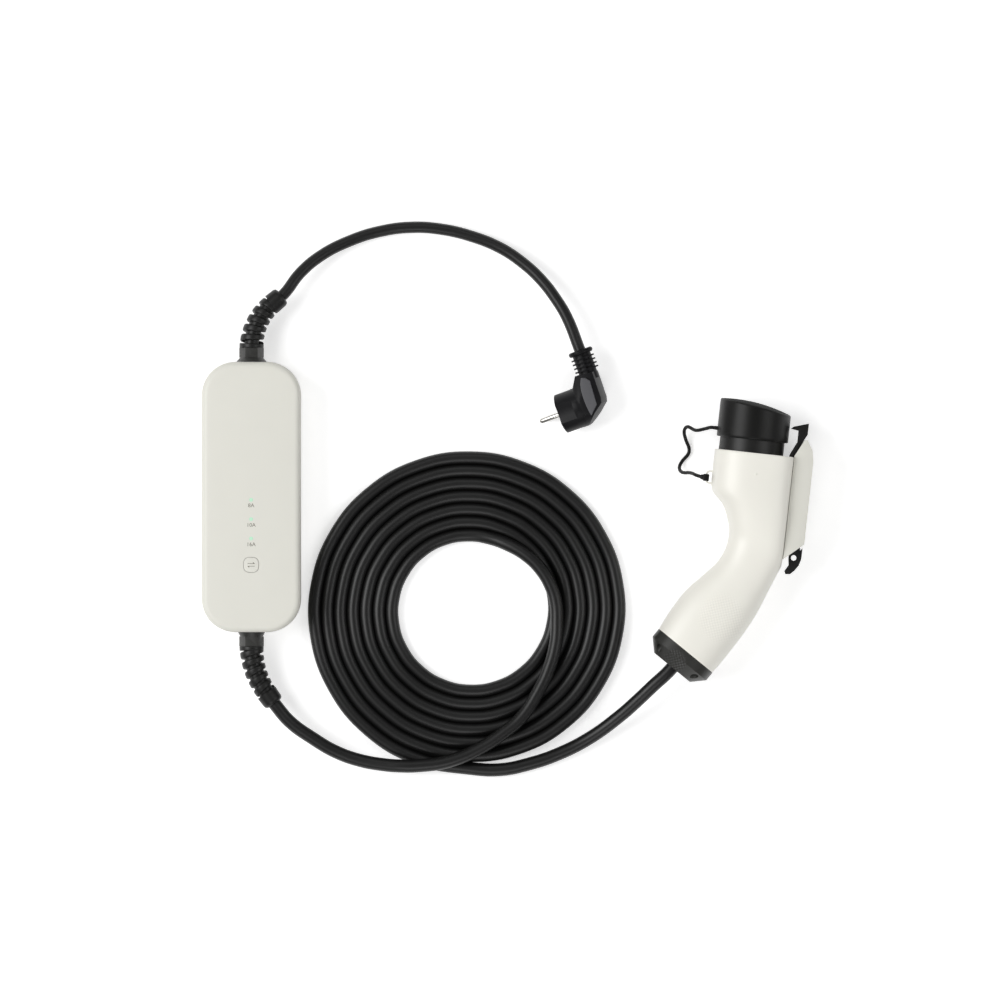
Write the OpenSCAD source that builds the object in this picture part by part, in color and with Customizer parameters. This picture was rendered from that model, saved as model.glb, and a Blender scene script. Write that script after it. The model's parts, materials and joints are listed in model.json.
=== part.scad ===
// Portable charger for electric cars: a control box with a short mains lead and plug,
// and a long coiled charging lead that ends in a hand-held connector under a dust cap.
// Millimetres, +Z up. All of it lies on z = 0. The origin is the middle of the box's back.

/* [Control box] */
// Length of the box
box_l = 243; // [230:1:260]
// Width of the box
box_w = 89; // [84:1:98]
// Thickness of the box, back to front
box_h = 48; // [46:0.5:54]
// Radius of the box's corners, seen from the front
box_corner_r = 30; // [26:0.5:34]
// Rounding of the front edge
front_edge_r = 6; // [5:0.5:9]
// Rounding of the back edge
back_edge_r = 4; // [3.5:0.5:6]
// Height of the rear cover, where the two covers part
rear_cover_h = 36; // [34:0.5:37]
// Wall of both covers
box_wall = 2.8; // [2.2:0.1:3.2]
// Width and depth of the gasket in the rear cover's rim
gasket_w = 1.2; // [0.8:0.1:1.4]
// Shank of the cover screws
cover_screw_d = 3.2; // [2.6:0.1:3.6]

/* [Key and lamps] */
// Width of the push key
key_w = 13.4; // [12:0.1:16]
// Corner radius of the push key
key_corner_r = 5; // [2:0.5:5.5]
// Place of the key along the box
key_y = -61; // [-66:0.5:-56]
// Travel of the key
key_travel = 0.8; // [0.4:0.1:1]
// Gap round the key
key_gap = 0.3; // [0.2:0.05:0.5]
// Diameter of a lamp lens
lamp_d = 3.4; // [2.4:0.1:4.4]
// Place of the first lamp along the box
lamp_y = -2.5; // [-6:0.5:2]
// Distance from lamp to lamp
lamp_pitch = 17.4; // [15:0.1:18]

/* [Circuit boards] */
// Distance from the end of the box to the main board
board_end = 29.5; // [29:0.5:36]
// Width of the main board
board_w = 56; // [50:1:60]
// Thickness of both boards
board_t = 1.6; // [1:0.1:2]
// Height of the main board above the floor of the rear cover
board_rise = 9; // [6:0.5:11]

/* [Glands and bend reliefs] */
// Widest part of the mains gland, at the box
supply_flare_d = 28; // [25:0.5:28.5]
// Widest part of the lead gland, at the box
lead_flare_d = 24.5; // [23.5:0.5:28.5]
// Length of the flared part
gland_flare_l = 4.5; // [3:0.5:7]
// Width across the flats of the gland nut
gland_nut_w = 19.2; // [19:0.2:21]
// Length of the gland nut
gland_nut_l = 8.5; // [6:0.5:11]
// Thread through the box's wall
gland_thread_d = 18; // [16.5:0.5:19]
// Outside diameter of the spiral at its gland
relief_d = 21.8; // [20.6:0.2:22.4]
// Outside diameter of the spiral at its other end
relief_end_d = 18.4; // [17.8:0.2:20]
// Turns of the spiral
relief_turns = 5; // [4:1:6]
// Advance of the spiral in one turn
relief_pitch = 8.2; // [7:0.1:8.4]
// Width of the spiral's strip
relief_strip_w = 4.8; // [4:0.1:5.6]
// Sleeve at the end of the spiral
relief_tip_l = 12; // [8:0.5:16]
// Clear space round a cord in its gland and relief
cord_gap = 0.5; // [0.3:0.1:0.8]
// Bend of the mains relief
supply_bend = 50; // [30:1:56]
// Bend of the lead relief
lead_bend = 36; // [24:1:46]

/* [Cords] */
// Diameter of the mains cord
supply_cord_d = 10.4; // [9:0.1:11]
// Diameter of the charging lead
lead_d = 11.9; // [10.5:0.1:12]
// Radius of the coil's first turn
coil_r = 64.5; // [60:0.1:66]
// Distance from turn to turn
coil_pitch = 11.9; // [11.7:0.1:12.2]
// Turns of the coil
coil_turns = 6.75; // [6.75:1:6.75]

/* [Plug] */
// Diameter of the plug's face
plug_d = 36.5; // [35:0.1:37.4]
// Depth of the round part behind the face
plug_face_l = 20.3; // [17.5:0.1:22]
// Greatest depth of the plug behind its face
plug_depth = 42; // [40:0.5:46]
// Thickness of the plug at its back
plug_back_t = 24.8; // [24:0.2:28]
// Diameter of a contact pin
pin_d = 4.8; // [4:0.1:4.8]
// Free length of a contact pin
pin_l = 19; // [17:0.1:19.5]
// Distance from pin to pin
pin_pitch = 19; // [17.5:0.1:19.5]
// Diameter of the socket for an earth pin
earth_socket_d = 5; // [4.4:0.1:5.4]
// Place of the cord behind the plug's face
plug_cord_x = 35.5; // [34:0.5:37]
// Height of the cord's end above the middle of the face
plug_neck_y = 48.5; // [47:0.5:52]

/* [Connector body] */
// Diameter of the collar round the nose
collar_d = 58.5; // [54:0.5:62]
// Reach of the collar in front of the body
collar_l = 19.5; // [17:0.5:21]
// Diameter of the nose that enters the car's inlet
nose_d = 43.8; // [42:0.1:44.5]
// Reach of the nose in front of the body
nose_l = 32; // [30:0.5:34]
// Clear space round the collar in the body
collar_gap = 0.3; // [0.2:0.05:0.5]
// Wall of the two half shells
shell_wall = 3; // [2.4:0.1:3.4]
// Distance from the collar to the flat back that carries the latch
latch_recess = 9.8; // [9.4:0.1:10.4]
// Thickness of the body at its waist
waist_t = 49; // [46:0.5:54]
// Thickness of the grip
grip_t = 52; // [46:0.5:58]
// Thickness at the end of the grip
grip_end_t = 50; // [46:0.5:56]
// Straight length of the end cap
end_cap_l = 9; // [7:0.5:12]
// Size of the bevel round the end cap
end_cap_bevel = 10.4; // [8:0.2:11]

/* [Latch] */
// Thickness of the latch lever
lever_t = 10; // [8:0.5:11]
// Clear space on each side of the lever
lever_gap = 0.6; // [0.4:0.1:0.9]
// Diameter of the pivot pin
pivot_d = 4; // [3:0.1:4.4]
// Running clearance round the pivot pin, on the radius
pivot_gap = 0.05; // [0.03:0.01:0.08]
// Diameter of the padlock hole in the lever's tail
padlock_d = 5; // [4:0.1:5.4]
// Width of the latch cover
cover_w = 36; // [30:0.5:38]
// Depth of the latch cover on the body's back
cover_depth = 17.5; // [17:0.1:19]
// Wall of the latch cover at its back
cover_wall = 2.2; // [1.6:0.1:2.4]

/* [Dust cap] */
// Wall of the cap round the collar
cap_wall = 2.75; // [2.4:0.05:3.2]
// Place of the cap's edge in front of the body
cap_edge = 11.7; // [10:0.1:13]
// Radius of the domed top
cap_dome_r = 139; // [120:1:180]
// Height of the cap's highest point above the body's front
cap_top = 46.6; // [46:0.1:50]
// Wall of the top
cap_top_wall = 2.8; // [2:0.1:3.4]
// Clear space round the collar in the cap
cap_gap = 0.3; // [0.2:0.05:0.4]
// Diameter of the tether
tether_d = 3.2; // [2.6:0.1:3.6]
// Hole of the eye on the body
eye_d = 5.2; // [5:0.1:5.6]

/* [Hidden] */
$fn = 64;

// Colours
shell_white = [0.88, 0.88, 0.85];
black = [0.1, 0.1, 0.1];
steel = [0.7, 0.7, 0.72];
brass = [0.8, 0.65, 0.3];
board_green = [0.15, 0.4, 0.25];

// Box
front_cover_h = box_h - rear_cover_h;
lid_under = box_h - box_wall;
gland_z = (rear_cover_h + back_edge_r) / 2;
boss_d = cover_screw_d + 5.8;
cover_screw_at = [for (x = [-1, 1], y = [-1, 0, 1])
    [x * (box_w / 2 - (y == 0 ? 8 : 13)), y * (box_l / 2 - 22)]];
screw_head_d = cover_screw_d + 3.2;
screw_head_l = 3;
screw_sink = 1;
board_l = box_l - 2 * board_end;
board_z = box_wall + board_rise;
board_top = board_z + board_t;
board_screw_at = [for (x = [-1, 1], y = [-1, 1]) [x * (board_w / 2 - 4.5), y * (board_l / 2 - 26)]];
board_screw_d = 2.8;
board_screw_head_d = 5.4;
board_screw_head_h = 1.8;
board_screw_grip = 6;
standoff_d = 7;

// Key, its switch and the lamps, hung from the underside of the front
key_flange = 1.5;
key_flange_t = 1.3;
key_flange_z = lid_under - key_gap - key_flange_t;
switch_top = key_flange_z - key_travel - 0.2;
switch_h = 4.5;
panel_top = switch_top - switch_h;
panel_w = 30;
panel_ends = [key_y - 13, lamp_y + 10];
panel_posts = [for (x = [-1, 1], y = [panel_ends[0] + 3.5, panel_ends[1] - 3.5]) [x * 11.5, y]];
lamp_h = 1.4;
lamp_at = [for (i = [0 : 2]) lamp_y - i * lamp_pitch];

// Glands
gland_l = gland_flare_l + gland_nut_l;
gland_inside = 5.5;
locknut_t = 4;
relief_base_l = 3.5;
relief_groove = 1.5;
relief_strip_t = 2;
relief_lap = 0.2;
relief_bore_gap = 0.3;
relief_tip_round = 2;
relief_arc = relief_base_l + relief_turns * relief_pitch;
cord_end_y = box_l / 2 - box_wall - 9;
core_d = 3;
core_r = 2.3;
terminal_y = board_l / 2 - 14;

// Plug
plug_turn = 19.8;
// The plug leans forward on the rim of its face, and all but on a pin
plug_lean = 13;
plug_at = [279.4, 75, (plug_d / 2 - 2.1) * cos(plug_lean)];
neck_r = plug_d * 0.29;
rib_r = neck_r + 0.4;
rib_core_r = neck_r - 2.2;
pin_root = 0.8;
pin_in = 12;
panel_rise = 0.9;

// Connector: its own frame has v along the nose and u towards the latch
gun_tilt = 6.3;
bore_r = collar_d / 2 + collar_gap;
body_t = 2 * (bore_r + shell_wall);
gun_at = [449.3, 40, body_t / 2];
seam_u = collar_d / 2 + latch_recess;
front_u = -body_t / 2;
back_u = seam_u + 2.6;
body_mid = (front_u + back_u) / 2;
body_half = (back_u - front_u) / 2;
// Sections of the body: place u, v, turn, half width and half thickness
stations = [
    [body_mid, 0, 0, body_half, body_t / 2],
    [body_mid, -20, 0, body_half, body_t / 2],
    [body_mid + 0.7, -38, -1.5, body_half - 0.6, body_t / 2],
    [11, -53, -7, 31.4, body_t / 2 - 1.5],
    [14.2, -69.9, -11.5, 28.3, (body_t + waist_t) / 4],
    [14.6, -83.3, -16, 27.3, waist_t / 2 + 1],
    [10.7, -98.2, -20.5, 26, waist_t / 2],
    [4.1, -113.6, -25.5, 26.7, waist_t / 2],
    [-5.4, -129.8, -29.5, 30, (waist_t + grip_t) / 4],
    [-17.5, -147.5, -32, 32.6, grip_t / 2],
    [-29, -166.5, -32.5, 32.6, grip_t / 2],
    [-38.7, -183.6, -33, 31.2, grip_end_t / 2]];
end_station = stations[len(stations) - 1];
section_power = 2.4;
latch_side_power = 3.4;
contact_at = [[6.8, 7.9, 3.6], [6.8, -7.9, 3.6], [-10.6, 0, 2.8], [-5.6, 10.6, 1.5], [-5.6, -10.6, 1.5]];
contact_wall = 1.2;
contact_ends = [-8, nose_l - 2];
insert_back = 2;
end_cap_screw_at = [20.2, 15.5];
end_cap_screw_d = 3.4;
end_cap_seat = 6;
spigot_l = 8;
nose_root_r = nose_d / 2 - 0.6;
nose_from = collar_l + 0.6;
lead_in_grip = 24;
clamp_r = 11;
core_spread = 3.2;

// Latch: outlines in the connector's frame
cover_u = seam_u + cover_depth;
pivot_at = [seam_u + 7.7, -46];
cap_d = collar_d + 2 * (cap_gap + cap_wall);
hook_u = cap_d / 2 + 1.2;
lever_outline = [
    [hook_u, 25.2], [seam_u + 1.4, 24.2], [seam_u + 1.5, 14], [seam_u - 4.2, 2], [seam_u - 5.2, -6],
    [seam_u + 3.6, -19], [seam_u + 4, -40], [seam_u + 4, -54], [seam_u + 7, -60], [seam_u + 7, -76],
    [seam_u + 5.2, -82], [seam_u + 5, -91], [seam_u + 5.8, -97], [seam_u + 2.6, -102.6],
    [seam_u + 3.8, -105.4], [seam_u + 7.8, -104.9], [seam_u + 11.4, -101.4], [seam_u + 14.8, -96.4],
    [seam_u + 16.5, -90.5], [seam_u + 16.5, -80.6], [seam_u + 15, -82.5], [seam_u + 14.4, -82.5],
    [seam_u + 14.4, -70], [seam_u + 11, -56], [seam_u + 11, -36], [seam_u + 10.4, -18],
    [seam_u + 1.4, 0.6], [seam_u + 6.6, 15], [seam_u + 10, 21.4], [seam_u + 10, 31.6],
    [seam_u - 3.2, 27.4]];
padlock_at = [seam_u + 9.6, -90];
cover_outline = [
    [seam_u, 1], [seam_u + 7.7, 16.2], [seam_u + 10.3, 16.6], [cover_u - 1.9, 8], [cover_u, -2],
    [cover_u, -77], [seam_u, -92.4]];
channel_outline = [
    [seam_u - 1, 20], [cover_u - 5.7, 20], [cover_u - 5.7, 14], [cover_u - cover_wall - 1.1, 6],
    [cover_u - cover_wall, -2], [cover_u - cover_wall, -97], [seam_u - 1, -97]];
slot_half = lever_t / 2 + lever_gap;
spring_d = 5;
spring_wire = 0.8;
spring_v = -68;
spring_l = 7 - 0.3;

// Cap and tether
cap_dome_at = [-19.3, cap_top - cap_dome_r];
boss_v = 18.6;
boss_end = -cap_d / 2 - 2.6;
eye_at = [front_u - 3, -26];
eye_r = eye_d / 2 + 2.6;
eye_t = 4;
loop_gap = 0.45;
loop_bar = 1.5;
loop_w = 2.2;
loop_end = [eye_at[0] - eye_r - loop_gap - loop_bar, eye_at[1], eye_t / 2];
// The crimp that ends the tether
crimp_d = 5;
crimp_front = loop_end - [2, 0, 0];
crimp_back = crimp_front - 5 * [cos(30), 0, sin(30)];

// Cord routes on the floor, chosen by hand
supply_route = [[43.7, 201.6, 17], [61.7, 216.9, 13], [88.7, 230.9, 8], [115.7, 239.4, 5.6],
    [142.7, 243, 5.2], [169.7, 241.5, 5.4], [199.4, 234.5, 6.6], [223.7, 224.6, 9.2],
    [241.7, 212.9, 12.4], [259.7, 196.7, 16.6], [275, 176.9, 20.6], [284, 161.5, 22.7]];
inner_route = [[34.7, -202.5, 18.4], [54.5, -216.9, 16.4], [76, -229.5, 15.2], [97.7, -237.2, 15],
    [120.2, -241.2, 16.6], [134, -242.2, 17.9], [150, -242, 17.9], [178.7, -237.6, 17.9],
    [210.2, -223.7, 17.9], [226, -213, 17.9], [241.7, -199.8, 17.9], [257.9, -175.5, 17.9],
    [268.2, -153, 17.9], [274, -130.5, 17.9], [275, -112, 17.9], [274.2, -96, 17.9],
    [270, -81.4, 17.9], [260.3, -64.9, 17.4], [246.5, -51.8, 15.7], [230.6, -42.8, 12.6],
    [213.9, -36.9, 8.2]];
outer_route = [[223.7, -245.7, 5.9], [250.7, -240.3, 5.9], [277.7, -230.9, 6.4], [304.7, -216.9, 9.6],
    [331.7, -197.1, 18], [348, -182.6, 25], [361, -170.2, 30]];
tether_route = [[412.6, 61.4, 31.2], [407.4, 60.2, 28.2], [402.6, 59.9, 24.6], [397.4, 60.8, 19.8],
    [392.6, 62, 14.8], [389.8, 59.2, 11.2], [389.3, 54.4, 8.2], [391.2, 48.4, 5.2], [393, 42.4, 3],
    [391, 36.4, 2], [387.2, 31.8, 2.8], [385.1, 27.2, 7], [386.2, 23.2, 13], [390, 21.6, 20.6],
    [394, 21.2, 27.5]];
coil_at = [196.6, -101.7];
coil_out = coil_r + coil_turns * coil_pitch;

// Curves and solids
function lerp(a, b, t) = a + (b - a) * t;
function unit(v) = v / norm(v);
function arc(c, r, a, b, n) = [for (i = [0 : n]) c + r * [cos(lerp(a, b, i / n)), sin(lerp(a, b, i / n))]];

// Outline of a rectangle with round corners
function round_rect(w, l, r) = concat(
    arc([w / 2 - r, l / 2 - r], r, 0, 90, 8), arc([r - w / 2, l / 2 - r], r, 90, 180, 8),
    arc([r - w / 2, r - l / 2], r, 180, 270, 8), arc([w / 2 - r, r - l / 2], r, 270, 360, 8));

// Section through a moulded edge, from its axis outwards, with the top corner rounded
function edge_section(reach, h, r) = concat(
    [[0, 0], [reach, 0]], arc([reach - r, h - r], r, 0, 90, 8), [[0, h]]);

// A smooth curve through a row of vectors, with so many steps to a span
function span(a, b, c, d, t) = 0.5 * (2 * b + (c - a) * t + (2 * a - 5 * b + 4 * c - d) * t * t
    + (3 * b - a - 3 * c + d) * t * t * t);
function smooth(p, steps) = concat(
    [for (i = [0 : len(p) - 2], k = [0 : steps - 1])
        span(p[max(i - 1, 0)], p[i], p[i + 1], p[min(i + 2, len(p) - 1)], k / steps)],
    [p[len(p) - 1]]);

// A point of the connector's frame on the floor plan
function gun_point(p) = [
    gun_at[0] + p[0] * cos(gun_tilt) + p[1] * sin(gun_tilt),
    gun_at[1] - p[0] * sin(gun_tilt) + p[1] * cos(gun_tilt), gun_at[2] + p[2]];
// A point of the grip's end frame, with y back up the grip, in the connector's frame
function end_point(x, y) = [
    end_station[0] + x * cos(end_station[2]) - y * sin(end_station[2]),
    end_station[1] + x * sin(end_station[2]) + y * cos(end_station[2]), 0];
function plug_point(x, y) = [
    plug_at[0] + x * cos(plug_lean) * cos(plug_turn) - y * sin(plug_turn),
    plug_at[1] + x * cos(plug_lean) * sin(plug_turn) + y * cos(plug_turn), plug_at[2] + x * sin(plug_lean)];

// The middle line of a bend relief: end is 1 at the mains gland and -1 at the lead gland
function bend_r(bend) = relief_arc * 180 / (PI * bend);
function bend_point(end, bend, s) = [
    bend_r(bend) * (1 - cos(bend * s / relief_arc)),
    end * (box_l / 2 + gland_l + bend_r(bend) * sin(bend * s / relief_arc)), gland_z];
function bend_tip(end, bend, l) = bend_point(end, bend, relief_arc)
    + l * [sin(bend), end * cos(bend), 0];
function cord_start(end, bend) = concat(
    [[0, end * cord_end_y, gland_z], [0, end * box_l / 2, gland_z]],
    [for (i = [0 : 5]) bend_point(end, bend, relief_arc * i / 5)],
    [bend_tip(end, bend, relief_tip_l + 2)]);

// A solid through a row of like loops. A folded loop runs out and back, so its ends are strips
module skin(loops, folded = false) {
    n = len(loops[0]);
    m = len(loops);
    last = (m - 1) * n;
    half = n / 2;
    sides = [for (i = [0 : m - 2], k = [0 : n - 1])
        [i * n + k, i * n + (k + 1) % n, (i + 1) * n + (k + 1) % n, (i + 1) * n + k]];
    near = folded
        ? [for (k = [0 : half - 2]) [n - 1 - k, n - 2 - k, k + 1, k]]
        : [[for (k = [0 : n - 1]) n - 1 - k]];
    far = folded
        ? [for (k = [0 : half - 2]) [last + k, last + k + 1, last + n - 2 - k, last + n - 1 - k]]
        : [[for (k = [0 : n - 1]) last + k]];
    split = [for (q = sides) each [[q[0], q[1], q[2]], [q[0], q[2], q[3]]]];
    polyhedron([for (l = loops) each l], concat(near, split, far), convexity = 6);
}

// A round cord along a row of points
module cord(p, d, sides = 10) {
    top = len(p) - 1;
    skin([for (i = [0 : top])
        let (t = unit(p[min(i + 1, top)] - p[max(i - 1, 0)]))
        let (side = unit(cross(t, [0, 0, 1])))
        let (up = cross(side, t))
        [for (k = [0 : sides - 1]) p[i] + d / 2 * (cos(360 * k / sides) * side + sin(360 * k / sides) * up)]]);
}

// A block with round corners in plan and a rounded top edge
module soft_block(w, l, h, corner, edge) {
    for (i = [0 : 3])
        translate([(i == 0 || i == 3 ? 1 : -1) * (w / 2 - corner), (i < 2 ? 1 : -1) * (l / 2 - corner), 0])
            rotate([0, 0, 90 * i])
                rotate_extrude(angle = 90)
                    polygon(edge_section(corner, h, edge));
    for (a = [0, 180])
        rotate([0, 0, a])
            translate([w / 2 - corner, l / 2 - corner, 0])
                rotate([90, 0, 0])
                    linear_extrude(l - 2 * corner)
                        polygon(edge_section(corner, h, edge));
    for (a = [90, 270])
        rotate([0, 0, a])
            translate([l / 2 - corner, w / 2 - corner, 0])
                rotate([90, 0, 0])
                    linear_extrude(w - 2 * corner)
                        polygon(edge_section(corner, h, edge));
    translate([corner - w / 2, corner - l / 2, 0])
        cube([w - 2 * corner, l - 2 * corner, h]);
}

module flip(h) {
    translate([0, 0, h])
        mirror([0, 0, 1])
            children();
}

module tube(inner, outer, h) {
    difference() {
        cylinder(r = outer, h = h);
        translate([0, 0, -1])
            cylinder(r = inner, h = h + 2);
    }
}

// A bar between two corners
module bar(a, b) {
    translate(a)
        cube(b - a);
}

// Places
module at_gland(end) {
    translate([0, end * box_l / 2, gland_z])
        rotate([-90 * end, 0, 0])
            children();
}

module at_plug() {
    translate(plug_at)
        rotate([0, -plug_lean, plug_turn])
            children();
}

module at_gun() {
    translate(gun_at)
        rotate([0, 0, -gun_tilt])
            children();
}

// Upright z becomes the nose's axis
module along_nose() {
    rotate([-90, 0, 0])
        children();
}

// Upright z becomes the grip's axis, back into the grip
module along_grip() {
    translate([end_station[0], end_station[1], 0])
        rotate([0, 0, end_station[2]])
            rotate([-90, 0, 0])
                children();
}

// Control box
module front_cover() {
    color(shell_white)
        difference() {
            union() {
                difference() {
                    translate([0, 0, rear_cover_h])
                        soft_block(box_w, box_l, front_cover_h, box_corner_r, front_edge_r);
                    translate([0, 0, rear_cover_h - 1])
                        soft_block(box_w - 2 * box_wall, box_l - 2 * box_wall, front_cover_h - box_wall + 1,
                            box_corner_r - box_wall, front_edge_r - box_wall);
                }
                for (p = cover_screw_at)
                    translate([p[0], p[1], rear_cover_h])
                        cylinder(d = boss_d, h = front_cover_h - box_wall + 0.5);
                for (p = panel_posts)
                    translate([p[0], p[1], panel_top])
                        cylinder(d = 5, h = lid_under - panel_top + 0.5);
            }
            translate([0, key_y, lid_under - 1])
                linear_extrude(box_wall + 2)
                    polygon(round_rect(key_w + 2 * key_gap, key_w + 2 * key_gap, key_corner_r + key_gap));
            for (y = lamp_at)
                translate([0, y, lid_under - 1])
                    cylinder(d = lamp_d, h = box_wall + 2);
            for (p = cover_screw_at)
                translate([p[0], p[1], rear_cover_h - 1])
                    cylinder(d = cover_screw_d, h = 8);
        }
}

module rear_cover() {
    color(shell_white)
        difference() {
            union() {
                difference() {
                    flip(rear_cover_h)
                        soft_block(box_w, box_l, rear_cover_h, box_corner_r, back_edge_r);
                    translate([0, 0, box_wall])
                        flip(rear_cover_h)
                            soft_block(box_w - 2 * box_wall, box_l - 2 * box_wall, rear_cover_h,
                                box_corner_r - box_wall, back_edge_r - 2.2);
                }
                for (p = cover_screw_at)
                    translate([p[0], p[1], box_wall - 0.5])
                        cylinder(d = boss_d, h = rear_cover_h - box_wall + 0.5);
                for (p = board_screw_at)
                    translate([p[0], p[1], box_wall - 0.5])
                        cylinder(d = standoff_d, h = board_rise + 0.5);
            }
            translate([0, 0, rear_cover_h - gasket_w])
                gasket_ring(gasket_w + 1);
            for (p = cover_screw_at)
                translate([p[0], p[1], -1]) {
                    cylinder(d = screw_head_d + 0.6, h = screw_sink + screw_head_l + 1);
                    cylinder(d = cover_screw_d + 0.6, h = rear_cover_h + 2);
                }
            for (p = board_screw_at)
                translate([p[0], p[1], board_z - 7])
                    cylinder(d = board_screw_d, h = 8);
            for (end = [-1, 1])
                at_gland(end)
                    translate([0, 0, -box_wall - 1])
                        cylinder(d = gland_thread_d, h = box_wall + 2);
        }
}

module gasket_ring(h) {
    inset = box_wall - gasket_w;
    linear_extrude(h)
        difference() {
            polygon(round_rect(box_w - inset, box_l - inset, box_corner_r - inset / 2));
            polygon(round_rect(box_w - inset - 2 * gasket_w, box_l - inset - 2 * gasket_w,
                box_corner_r - inset / 2 - gasket_w));
        }
}

module box_gasket() {
    color(black)
        translate([0, 0, rear_cover_h - gasket_w])
            gasket_ring(gasket_w);
}

module cover_screws() {
    color(steel)
        for (p = cover_screw_at)
            translate([p[0], p[1], screw_sink])
                difference() {
                    union() {
                        cylinder(d = screw_head_d, h = screw_head_l);
                        cylinder(d = cover_screw_d, h = rear_cover_h + 6 - screw_sink);
                    }
                    translate([0, 0, -1])
                        cylinder(d = screw_head_d * 0.5, h = 2.6, $fn = 6);
                }
}

module current_key() {
    color(shell_white)
        union() {
            translate([0, key_y, key_flange_z + key_flange_t - 0.2])
                linear_extrude(box_h - key_flange_z - key_flange_t + 0.2)
                    polygon(round_rect(key_w, key_w, key_corner_r));
            translate([0, key_y, key_flange_z])
                linear_extrude(key_flange_t)
                    polygon(round_rect(key_w + 2 * key_flange, key_w + 2 * key_flange, key_corner_r));
        }
}

module lamp_lenses() {
    color([0.6, 0.95, 0.75])
        for (y = lamp_at)
            translate([0, y, panel_top + lamp_h + 0.2])
                cylinder(d = lamp_d, h = box_h - panel_top - lamp_h - 0.2);
}

module panel_board() {
    color(board_green)
        bar([-panel_w / 2, panel_ends[0], panel_top - board_t], [panel_w / 2, panel_ends[1], panel_top]);
}

module panel_lamps() {
    color([0.9, 0.9, 0.8])
        for (y = lamp_at)
            bar([-1.6, y - 1.4, panel_top], [1.6, y + 1.4, panel_top + lamp_h]);
}

module key_switch() {
    color(black)
        union() {
            bar([-3, key_y - 3, panel_top], [3, key_y + 3, switch_top - 1]);
            translate([0, key_y, switch_top - 1.5])
                cylinder(d = 3.4, h = 1.5);
        }
}

module main_board() {
    color(board_green)
        difference() {
            bar([-board_w / 2, -board_l / 2, board_z], [board_w / 2, board_l / 2, board_top]);
            for (p = board_screw_at)
                translate([p[0], p[1], board_z - 1])
                    cylinder(d = board_screw_d + 0.4, h = board_t + 2);
        }
}

module board_screws() {
    color(steel)
        for (p = board_screw_at)
            translate([p[0], p[1], board_top]) {
                cylinder(d = board_screw_head_d, h = board_screw_head_h);
                translate([0, 0, -board_t - board_screw_grip])
                    cylinder(d = board_screw_d, h = board_t + board_screw_grip + 0.2);
            }
}

module relays() {
    color([0.15, 0.2, 0.35])
        for (x = [-1, 1])
            bar([x * 11 - 6.4, 22, board_top], [x * 11 + 6.4, 51, board_top + 16]);
}

module leakage_sensor() {
    color([0.2, 0.25, 0.5])
        translate([0, -38, board_top])
            tube(6.5, 14, 13);
}

module power_module() {
    color(black)
        bar([-12, -14, board_top], [12, 15, board_top + 15]);
}

module terminal_block(end) {
    bar([-15, end * terminal_y - 6, board_top], [15, end * terminal_y + 6, gland_z + 6]);
}

module supply_terminals() {
    color([0.25, 0.5, 0.3])
        terminal_block(1);
}

module output_terminals() {
    color([0.25, 0.5, 0.3])
        terminal_block(-1);
}

module box_cores() {
    color(brass)
        for (end = [-1, 1], a = [90, 210, 330])
            translate([core_r * cos(a), end * (terminal_y + 6), gland_z + core_r * sin(a)])
                rotate([-90 * end, 0, 0])
                    cylinder(d = core_d, h = cord_end_y - terminal_y - 6);
}

// Glands and bend reliefs
module gland(end, cord_d, flare_d) {
    at_gland(end)
        difference() {
            union() {
                translate([0, 0, -box_wall - gland_inside])
                    cylinder(d = gland_thread_d, h = box_wall + gland_inside + 1);
                cylinder(d1 = flare_d, d2 = gland_nut_w + 0.6, h = gland_flare_l);
                translate([0, 0, gland_flare_l - 0.5])
                    cylinder(d = gland_nut_w / cos(30), h = gland_nut_l + 0.5, $fn = 6);
            }
            translate([0, 0, -box_wall - gland_inside - 1])
                cylinder(d = cord_d + 2 * cord_gap, h = box_wall + gland_inside + gland_l + 2);
        }
}

module supply_gland() {
    color(black)
        gland(1, supply_cord_d, supply_flare_d);
}

module lead_gland() {
    color(black)
        gland(-1, lead_d, lead_flare_d);
}

module gland_locknuts() {
    color(black)
        for (end = [-1, 1])
            at_gland(end)
                translate([0, 0, -box_wall - locknut_t])
                    difference() {
                        cylinder(d = gland_thread_d + 7, h = locknut_t, $fn = 6);
                        translate([0, 0, -1])
                            cylinder(d = gland_thread_d, h = locknut_t + 2);
                    }
}

// A round bar along the bend of a relief, between two places on it
module bent_bar(bend, from, to, d1, d2) {
    r = bend_r(bend);
    skin([for (i = [0 : 5])
        let (lean = bend * lerp(from, to, i / 5) / relief_arc)
        let (d = lerp(d1, d2, i / 5))
        [for (k = [0 : 15])
            let (x = d / 2 * cos(22.5 * k))
            [r * (1 - cos(lean)) + x * cos(lean), -d / 2 * sin(22.5 * k), r * sin(lean) - x * sin(lean)]]]);
}

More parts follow.
